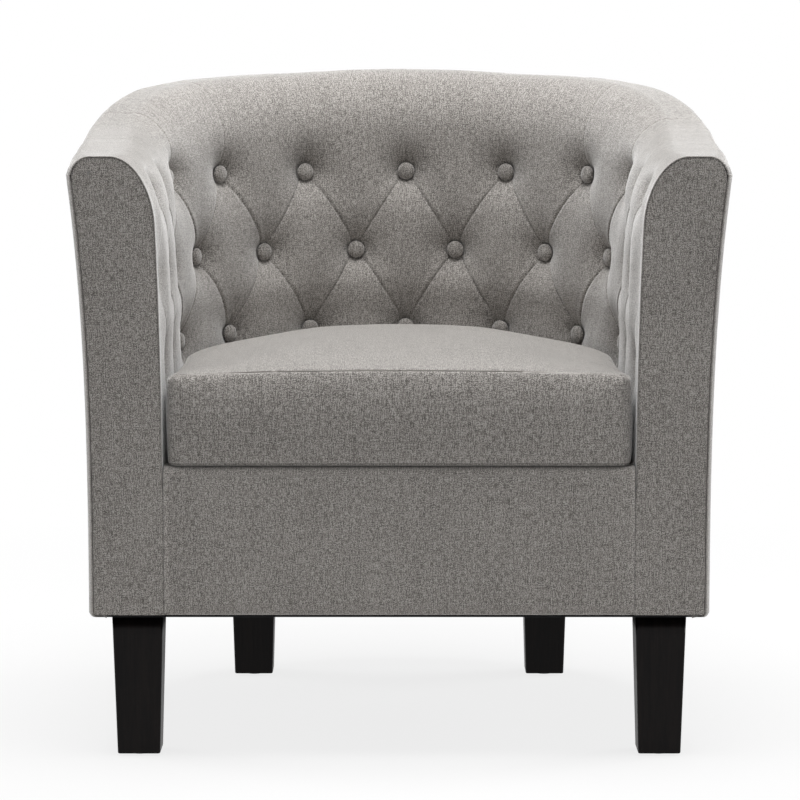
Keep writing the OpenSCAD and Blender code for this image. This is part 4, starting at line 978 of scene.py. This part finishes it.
z = np.maximum(z - FRONT_SAG * sag, SEAT_LOW - sink)
band = np.clip((z - SEAT_LOW - SEAM_UP) / (SEAT_HIGH - SEAT_LOW - SEAM_UP), 0, 1)
swell = np.sin(np.pi * band) ** 0.6 * eased((FRONT_Y + 0.03 - y) / 0.024)
y = y - SEAT_SWELL * swell * eased((0.2545 - np.abs(x)) / 0.022)
back_r = np.hypot(x, y - SEAT_Y)
hold = np.minimum(1, SEAT_MOST_R / np.maximum(back_r, 1e-9))
x = np.where(y > SEAT_Y, x * hold, np.clip(x, -SEAT_MOST_HALF, SEAT_MOST_HALF))
y = np.where(y > SEAT_Y, SEAT_Y + (y - SEAT_Y) * hold,
             np.maximum(y, FRONT_Y - SEAT_MOST_FRONT))
cushion.data.vertices.foreach_set("co", np.stack([x, y, z], -1).astype(np.float32).ravel())
smooth = cushion.modifiers.new("finer", "SUBSURF")
smooth.levels = smooth.render_levels = 1
settle(cushion)


EDGE_DROOP, ARM_DROOP = 0.0058, 0.0045
FINE_PUCKER, BROAD_PUCKER = (60, 0.0004), (14, 0.0010)


def seat_droop(co):
    """The seat's top edge sinks towards its corners, and more along the arms."""
    out, along = min(1, abs(co.x) / SEAT_R), eased((co.y - FRONT_Y - 0.01) / 0.08)
    sink = EDGE_DROOP * out ** 2.5 + ARM_DROOP * out ** 3 * along
    return sink * eased((co.z - 0.350) / 0.08)


# The zip lies in a shallow recess of the band, round the back
ZIP_MIDDLE, ZIP_ROOM, ZIP_ROOM_TURN = 0.3775, 0.0075, math.radians(53)
ZIP_SINK_R, ZIP_FROM_R = 0.2506, 0.2462
seat = bmesh.new()
seat.from_mesh(cushion.data)
SEAMS = (SEAT_HIGH + 0.0002, SEAT_LOW + 0.0022)
SEAM_HALF, SEAM_DEPTH = 0.0007, 0.0017
for level in SEAMS:
    for rise in (-SEAM_HALF, 0.0, SEAM_HALF):
        bmesh.ops.bisect_plane(seat, geom=seat.verts[:] + seat.edges[:] + seat.faces[:],
                               plane_co=(0, 0, level + rise), plane_no=(0, 0, 1), dist=1e-6)
seat.normal_update()
for vert in seat.verts:
    gap = min(abs(vert.co.z - level) for level in SEAMS)
    on_top = vert.co.z > SEAT_HIGH - 0.01
    if gap < 0.0003 and (on_top or vert.normal.z ** 2 < 0.9):
        up = vert.normal.z if on_top else 0
        vert.co -= Vector((vert.normal.x, vert.normal.y, up)) * SEAM_DEPTH
    pucker = sum(noise.noise(vert.co * fine) * height
                 for fine, height in (FINE_PUCKER, BROAD_PUCKER))
    side_share = 1 - min(1, abs(vert.normal.z) * 1.6)
    vert.co += vert.normal * pucker * (0.5 + 0.5 * side_share) * min(1, gap / 0.012)
    over_rail = vert.co.y < FRONT_Y + 0.006
    vert.co.z = max(vert.co.z, SEAT_LOW - (SAG_SINK if over_rail else REST_SINK))
    vert.co.z -= seat_droop(vert.co)
    out = math.hypot(vert.co.x, vert.co.y - SEAT_Y)
    turn = abs(math.atan2(vert.co.x, vert.co.y - SEAT_Y))
    if turn < ZIP_ROOM_TURN and abs(vert.co.z - ZIP_MIDDLE) < ZIP_ROOM and out > ZIP_FROM_R:
        vert.co.x *= ZIP_SINK_R / out
        vert.co.y = SEAT_Y + (vert.co.y - SEAT_Y) * ZIP_SINK_R / out
seat.to_mesh(cushion.data)
seat.free()
mesh = cushion.data
mesh.polygons.foreach_set("use_smooth", [True] * len(mesh.polygons))
at_corner = points_of(mesh)[face_corners(mesh)]
turned = np.empty(3 * len(mesh.polygons), np.float32)
mesh.polygons.foreach_get("normal", turned)
corner_count = np.empty(len(mesh.polygons), np.int32)
mesh.polygons.foreach_get("loop_total", corner_count)
on_panel = np.repeat(np.abs(turned.reshape(-1, 3)[:, 2]) > 0.72, corner_count)
x, y, z = at_corner.T
around = np.where(y > SEAT_Y, np.arctan2(x, y - SEAT_Y) * SEAT_R,
                  np.sign(x) * (SEAT_R * np.pi / 2 + SEAT_Y - y))
around = np.where(y < FRONT_Y + 0.006, x + 0.9, around)
lay_weave(mesh, np.where(on_panel[:, None], at_corner[:, :2], np.stack([around, z], -1)))

FOAM_SHAPE = [(0.030, SEAT_LOW + 0.0019), (0.009, SEAT_LOW + 0.0019), (0.007, SEAT_LOW + 0.004),
              (0.007, SEAT_HIGH - 0.010), (0.009, SEAT_HIGH - 0.0075), (0.030, 0.4262),
              (0.062, 0.4310), (0.105, 0.4352), (0.160, 0.4375)]
foam_rings = []
for inset, z in FOAM_SHAPE:
    ring = [Vector((x, y, z)) for x, y in seat_plan(inset)]
    foam_rings.append([point - Vector((0, 0, seat_droop(point))) for point in ring])
foam_block = loft(foam_rings)


def open_foam(name, light, dark):
    material, tree, shader = new_material(name, Roughness=0.95)
    place = own_place(tree)
    cells = add_node(tree, "ShaderNodeTexVoronoi",
                     {"Vector": place, "Scale": 900}).outputs["Distance"]
    both = reckon(tree, "MULTIPLY_ADD", cells, 0.7, mottle(tree, place, 9, Detail=3))
    ramp = shades(tree, both, dark, light)
    paint(tree, shader, ramp.outputs[0], relief=(cells, 0.6, 0.0005))
    return material


foam = open_foam("cream_foam", (0.80, 0.74, 0.56), (0.62, 0.55, 0.38))
seat_foam = make_piece("seat_foam", foam_block, "cushion", foam,
                       ("seat_cushion_core",))


# Zip of the cushion: a woven tape sewn into the side band round the back, with a nylon
# coil along its middle. A small cast slider rides on the coil, with a pull tab that hangs.
ZIP_HALF_TURN, TAPE_R, TAPE_W = math.radians(52.4), 0.2512, 0.0074


def round_back(turn, r, z):
    """The point of the cushion's round back at a turn from its middle."""
    return Vector((r * math.sin(turn), SEAT_Y + r * math.cos(turn), z))


def on_back(turn, r):
    """Sets a small part on the zip: its X along the zip, its Y up and its Z outwards."""
    return (Matrix.Translation(round_back(turn, r, ZIP_MIDDLE))
            @ Matrix(((math.cos(turn), 0, math.sin(turn)),
                      (-math.sin(turn), 0, math.cos(turn)), (0, 1, 0))).to_4x4())


tape = bmesh.new()
bmesh.ops.create_grid(tape, x_segments=120, y_segments=6, size=0.5)
for vert in tape.verts:
    rise = vert.co.y * TAPE_W
    swell = 0.0004 * math.exp(-(rise / 0.0012) ** 2)
    vert.co = round_back(vert.co.x * 2 * ZIP_HALF_TURN, TAPE_R + swell, ZIP_MIDDLE + rise)
face_outwards(tape, Vector((0, 1, 0)))


def twill_tape(name, dark, light, pitch):
    material, tree, shader = new_material(name, Roughness=0.85)
    place = own_place(tree)
    ribs = add_node(tree, "ShaderNodeTexWave",
                    {"Vector": place, "Scale": math.pi / pitch / 10, "Distortion": 0.4},
                    bands_direction="DIAGONAL").outputs["Fac"]
    both = reckon(tree, "MULTIPLY", ribs, mottle(tree, place, 500, Detail=3))
    ramp = shades(tree, both, dark, light, 0.0, 0.6)
    paint(tree, shader, ramp.outputs[0], relief=(ribs, 0.5, 0.0002))
    return material


grey_tape = twill_tape("grey_zip_tape", (0.10, 0.09, 0.08), (0.24, 0.22, 0.2), 0.0009)
make_piece("zip_tape", tape, "cushion", grey_tape, ("cushion_zip",),
           thick=0.0005)

TEETH, TOOTH_SIZE, TOOTH_TILT, TOOTH_R = 310, (0.0008, 0.0034, 0.0011), 0.25, TAPE_R + 0.0007
tooth = bmesh.new()
bmesh.ops.create_cube(tooth, size=1)
ease_edges(tooth, tooth.edges[:], 0.22, 1)
bmesh.ops.scale(tooth, verts=tooth.verts, vec=TOOTH_SIZE)
coil = copies(tooth, [
    on_back(mixed(-ZIP_HALF_TURN, ZIP_HALF_TURN, (number + 0.5) / TEETH), TOOTH_R)
    @ Matrix.Rotation(TOOTH_TILT if number % 2 else -TOOTH_TILT, 4, "Z")
    for number in range(TEETH)])
bmesh.ops.recalc_face_normals(coil, faces=coil.faces)


def moulded_plastic(name, colour, roughness):
    material, tree, shader = new_material(name)
    grains = mottle(tree, own_place(tree), 240, Detail=4)
    ramp = shades(tree, grains, [c * 0.8 for c in colour], [c * 1.2 for c in colour])
    paint(tree, shader, ramp.outputs[0], (grains, roughness - 0.08, roughness + 0.1),
          (grains, 0.2, 0.0002))
    return material


coil_nylon = moulded_plastic("grey_nylon", (0.19, 0.178, 0.165), 0.42)
make_piece("zip_coil", coil, "cushion", coil_nylon, smooth=False)

# The slider's body, the bridge on it and the hanging tab: place out, width, height,
# thickness and how far up its middle is
SLIDER_TURN, SLIDER_R, SLIDER_EDGE_R = math.radians(51.1), 0.2533, 0.0004
SLIDER_PARTS = [(0.0005, 0.0095, 0.0070, 0.0013, 0.0), (0.0015, 0.0042, 0.0052, 0.0010, 0.0008),
                (0.0018, 0.0046, 0.0220, 0.0009, -0.0140)]
slider = bmesh.new()
for out, wide, high, thick, rise in SLIDER_PARTS:
    made = bmesh.ops.create_cube(slider, size=1)["verts"]
    for vert in made:
        taper = 0.72 if high < 0.01 and vert.co.x < 0 else 1.0
        vert.co = Vector((vert.co.x * wide, vert.co.y * high * taper + rise,
                          vert.co.z * thick + out))
    edges = [e for e in slider.edges if e.verts[0] in made and e.verts[1] in made]
    ease_edges(slider, edges, SLIDER_EDGE_R, 2)
bmesh.ops.transform(slider, verts=slider.verts, matrix=on_back(SLIDER_TURN, SLIDER_R))
bmesh.ops.recalc_face_normals(slider, faces=slider.faces)


def plain_metal(name, colour, roughness, cells=0.0):
    material, tree, shader = new_material(name, Metallic=1.0)
    place = own_place(tree)
    spangle = add_node(tree, "ShaderNodeTexVoronoi",
                       {"Vector": place, "Scale": 320}).outputs["Distance"]
    both = reckon(tree, "MULTIPLY_ADD", spangle, cells, mottle(tree, place, 160, Detail=4))
    ramp = shades(tree, both, [c * 0.72 for c in colour], colour, 0.25, 0.75)
    paint(tree, shader, ramp.outputs[0], (both, roughness - 0.08, roughness + 0.14))
    return material


antique_brass = plain_metal("antique_brass", (0.33, 0.27, 0.18), 0.38)
make_piece("zip_slider_body", slider, "zip_slider", antique_brass,
           ("zip_slider",), smooth=False)


# Deck under the cushion: a pad of grey felt over the springs, and on it a lining cloth
# tacked down round its edge and to the front rail.
DECK_R, DECK_Z, FELT_Z = 0.251, 0.3244, 0.3222


def round_sheet(radius, front, z, cuts, still, wave, cells):
    """A sheet with a straight front and a round back, rippled but for its edges."""
    sheet = bmesh.new()
    bmesh.ops.create_grid(sheet, x_segments=cuts[0], y_segments=cuts[1], size=0.5)
    straight = (ROUND_Y - front) / (ROUND_Y - front + radius)
    for vert in sheet.verts:
        across, along = vert.co.x * 2, vert.co.y + 0.5
        edge = eased(min(1 - abs(across), along, 1 - along) / still)
        if along < straight:
            vert.co = Vector((across * radius, mixed(front, ROUND_Y, along / straight), z))
        else:
            turn = math.pi / 2 * (along - straight) / (1 - straight)
            vert.co = Vector((across * radius * math.cos(turn),
                              ROUND_Y + radius * math.sin(turn), z))
        vert.co.z += wave * edge * noise.noise(vert.co * Vector(cells))
    bmesh.ops.remove_doubles(sheet, verts=sheet.verts, dist=1e-5)
    return sheet


def deck_layer(front, z, wave):
    layer = round_sheet(DECK_R, front, z, (48, 44), 0.12, wave, (16, 16, 16))
    face_outwards(layer, Vector((0, 0, 1)))
    return layer


def plain_weave(name, dark, light, thread):
    material, tree, shader = new_material(name, Roughness=0.9)
    place = own_place(tree)
    over = crossed_threads(tree, place, thread, 0.6)
    both = reckon(tree, "MULTIPLY_ADD", over, 0.5, mottle(tree, place, 60, Detail=5))
    ramp = shades(tree, both, dark, light, 0.3)
    paint(tree, shader, ramp.outputs[0], relief=(over, 0.35, 0.0003))
    return material


lining = plain_weave("deck_lining", (0.05, 0.046, 0.043), (0.12, 0.112, 0.105), 0.0011)
deck_cloth = make_piece("deck_cloth", deck_layer(FRONT_Y + 0.0405, DECK_Z, 0.0003), "frame",
                        lining, ("deck_cover",), thick=0.0012)

felt_grey = plain_weave("pressed_felt", (0.16, 0.16, 0.165), (0.36, 0.36, 0.37), 0.0021)
deck_felt = make_piece("deck_felt", deck_layer(FRONT_Y + 0.0110, FELT_Z, 0.0004), "frame",
                       felt_grey, ("deck_pad",), thick=0.0092)
soften = deck_felt.modifiers.new("soft_edges", "BEVEL")
soften.width, soften.segments, soften.limit_method = 0.002, 2, "ANGLE"


# Wall foam: one bent sheet of foam between the hardboard and the wadding, with a hole
# under each button for its twine.
foam_sheet = bmesh.new()
foam_sheet.from_mesh(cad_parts["inside_foam"].data)
bmesh.ops.remove_doubles(foam_sheet, verts=foam_sheet.verts, dist=1e-5)
bmesh.ops.recalc_face_normals(foam_sheet, faces=foam_sheet.faces)
wall_foam = make_piece("wall_foam", foam_sheet, "frame", foam, ("inside_foam",),
                       smooth=False)


# Dust cloth: thin black spunbond cloth under the seat box, stapled on inside the turned
# hem of the outside cover. The legs are screwed up against it.
DUST_R, DUST_FRONT, DUST_Z = 0.333, FRONT_Y + 0.008, 0.1576
dust = round_sheet(DUST_R, DUST_FRONT, DUST_Z, (60, 54), 0.08, 0.0006, (14, 14, 0))
face_outwards(dust, Vector((0, 0, -1)))
spunbond = plain_weave("black_spunbond", (0.006, 0.006, 0.007), (0.03, 0.03, 0.033), 0.0016)
dust_cloth = make_piece("dust_cloth", dust, "frame", spunbond,
                        ("dust_cover",), thick=0.0005)


# Frame inside the upholstery: birch plywood boards, hardboard bent round the posts, zinc
# plated screws, bolts and clips, zigzag springs, waxed twine and a plastic glide per foot.
PLY_PAIR = 0.0026


def birch_plywood(name, upright):
    material, tree, shader = new_material(name, Roughness=0.62)
    place = own_place(tree)
    shape = add_node(tree, "ShaderNodeNewGeometry")
    run = add_node(tree, "ShaderNodeMapping",
                   {"Vector": place, "Scale": (60, 60, 5) if upright else (60, 6, 60)})
    grain = mottle(tree, run.outputs[0], 1, Detail=5, Distortion=0.3)
    face = shades(tree, grain, (0.50, 0.35, 0.20), (0.72, 0.56, 0.38), 0.3, 0.7)
    plies = add_node(tree, "ShaderNodeTexWave",
                     {"Vector": place, "Scale": math.pi / PLY_PAIR / 10,
                      "Distortion": 0.3}, bands_direction="X" if upright else "Z")
    edge = add_node(tree, "ShaderNodeMix", {0: plies.outputs["Fac"],
                                            6: (0.33, 0.2, 0.1, 1), 7: (0.66, 0.5, 0.32, 1)},
                    data_type="RGBA")
    split = add_node(tree, "ShaderNodeSeparateXYZ", {0: shape.outputs["True Normal"]})
    on_face = reckon(tree, "LESS_THAN" if upright else "GREATER_THAN",
                     reckon(tree, "ABSOLUTE", split.outputs["Z"]), 0.5)
    both = add_node(tree, "ShaderNodeMix", {0: on_face, 6: edge.outputs[2],
                                            7: face.outputs[0]}, data_type="RGBA")
    paint(tree, shader, both.outputs[2], relief=(grain, 0.2, 0.0004))
    return material


def brown_hardboard(name):
    material, tree, shader = new_material(name, Roughness=0.7)
    fibres = mottle(tree, own_place(tree), 420, Detail=6, Roughness=0.75)
    ramp = shades(tree, fibres, (0.16, 0.095, 0.05), (0.36, 0.24, 0.14), 0.3, 0.72)
    paint(tree, shader, ramp.outputs[0], relief=(fibres, 0.3, 0.0003))
    return material


FINISHES = [
    (plain_metal("zinc_plate", (0.62, 0.63, 0.64), 0.34, 0.4),
     ("hanger_bolts", "tee_nuts", "frame_screws", "spring_clips", "tufting_clasps")),
    (plain_metal("oiled_spring_steel", (0.3, 0.3, 0.31), 0.4), ("seat_springs",)),
    (birch_plywood("birch_plywood_flat", False),
     ("leg_blocks", "base_ring", "seat_ring_front", "seat_ring_left", "seat_ring_right",
      "seat_ring_back", "top_rail")),
    (birch_plywood("birch_plywood_upright", True),
     ("front_rail", "lower_posts", "arm_post_left", "arm_post_right", "arm_mid_post_left",
      "arm_mid_post_right", "back_post_1", "back_post_2", "back_post_3", "back_post_4")),
    (brown_hardboard("brown_hardboard"), ("inside_board", "outside_board", "tack_strip")),
    (twill_tape("waxed_twine", (0.42, 0.38, 0.3), (0.78, 0.73, 0.62), 0.0012),
     ("tufting_twines", "tie_wires")),
    (moulded_plastic("black_glide_plastic", (0.02, 0.02, 0.021), 0.5), ("foot_glides",)),
]
for finish, names in FINISHES:
    for name in names:
        node_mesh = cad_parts[name].data
        node_mesh.materials.clear()
        node_mesh.materials.append(finish)
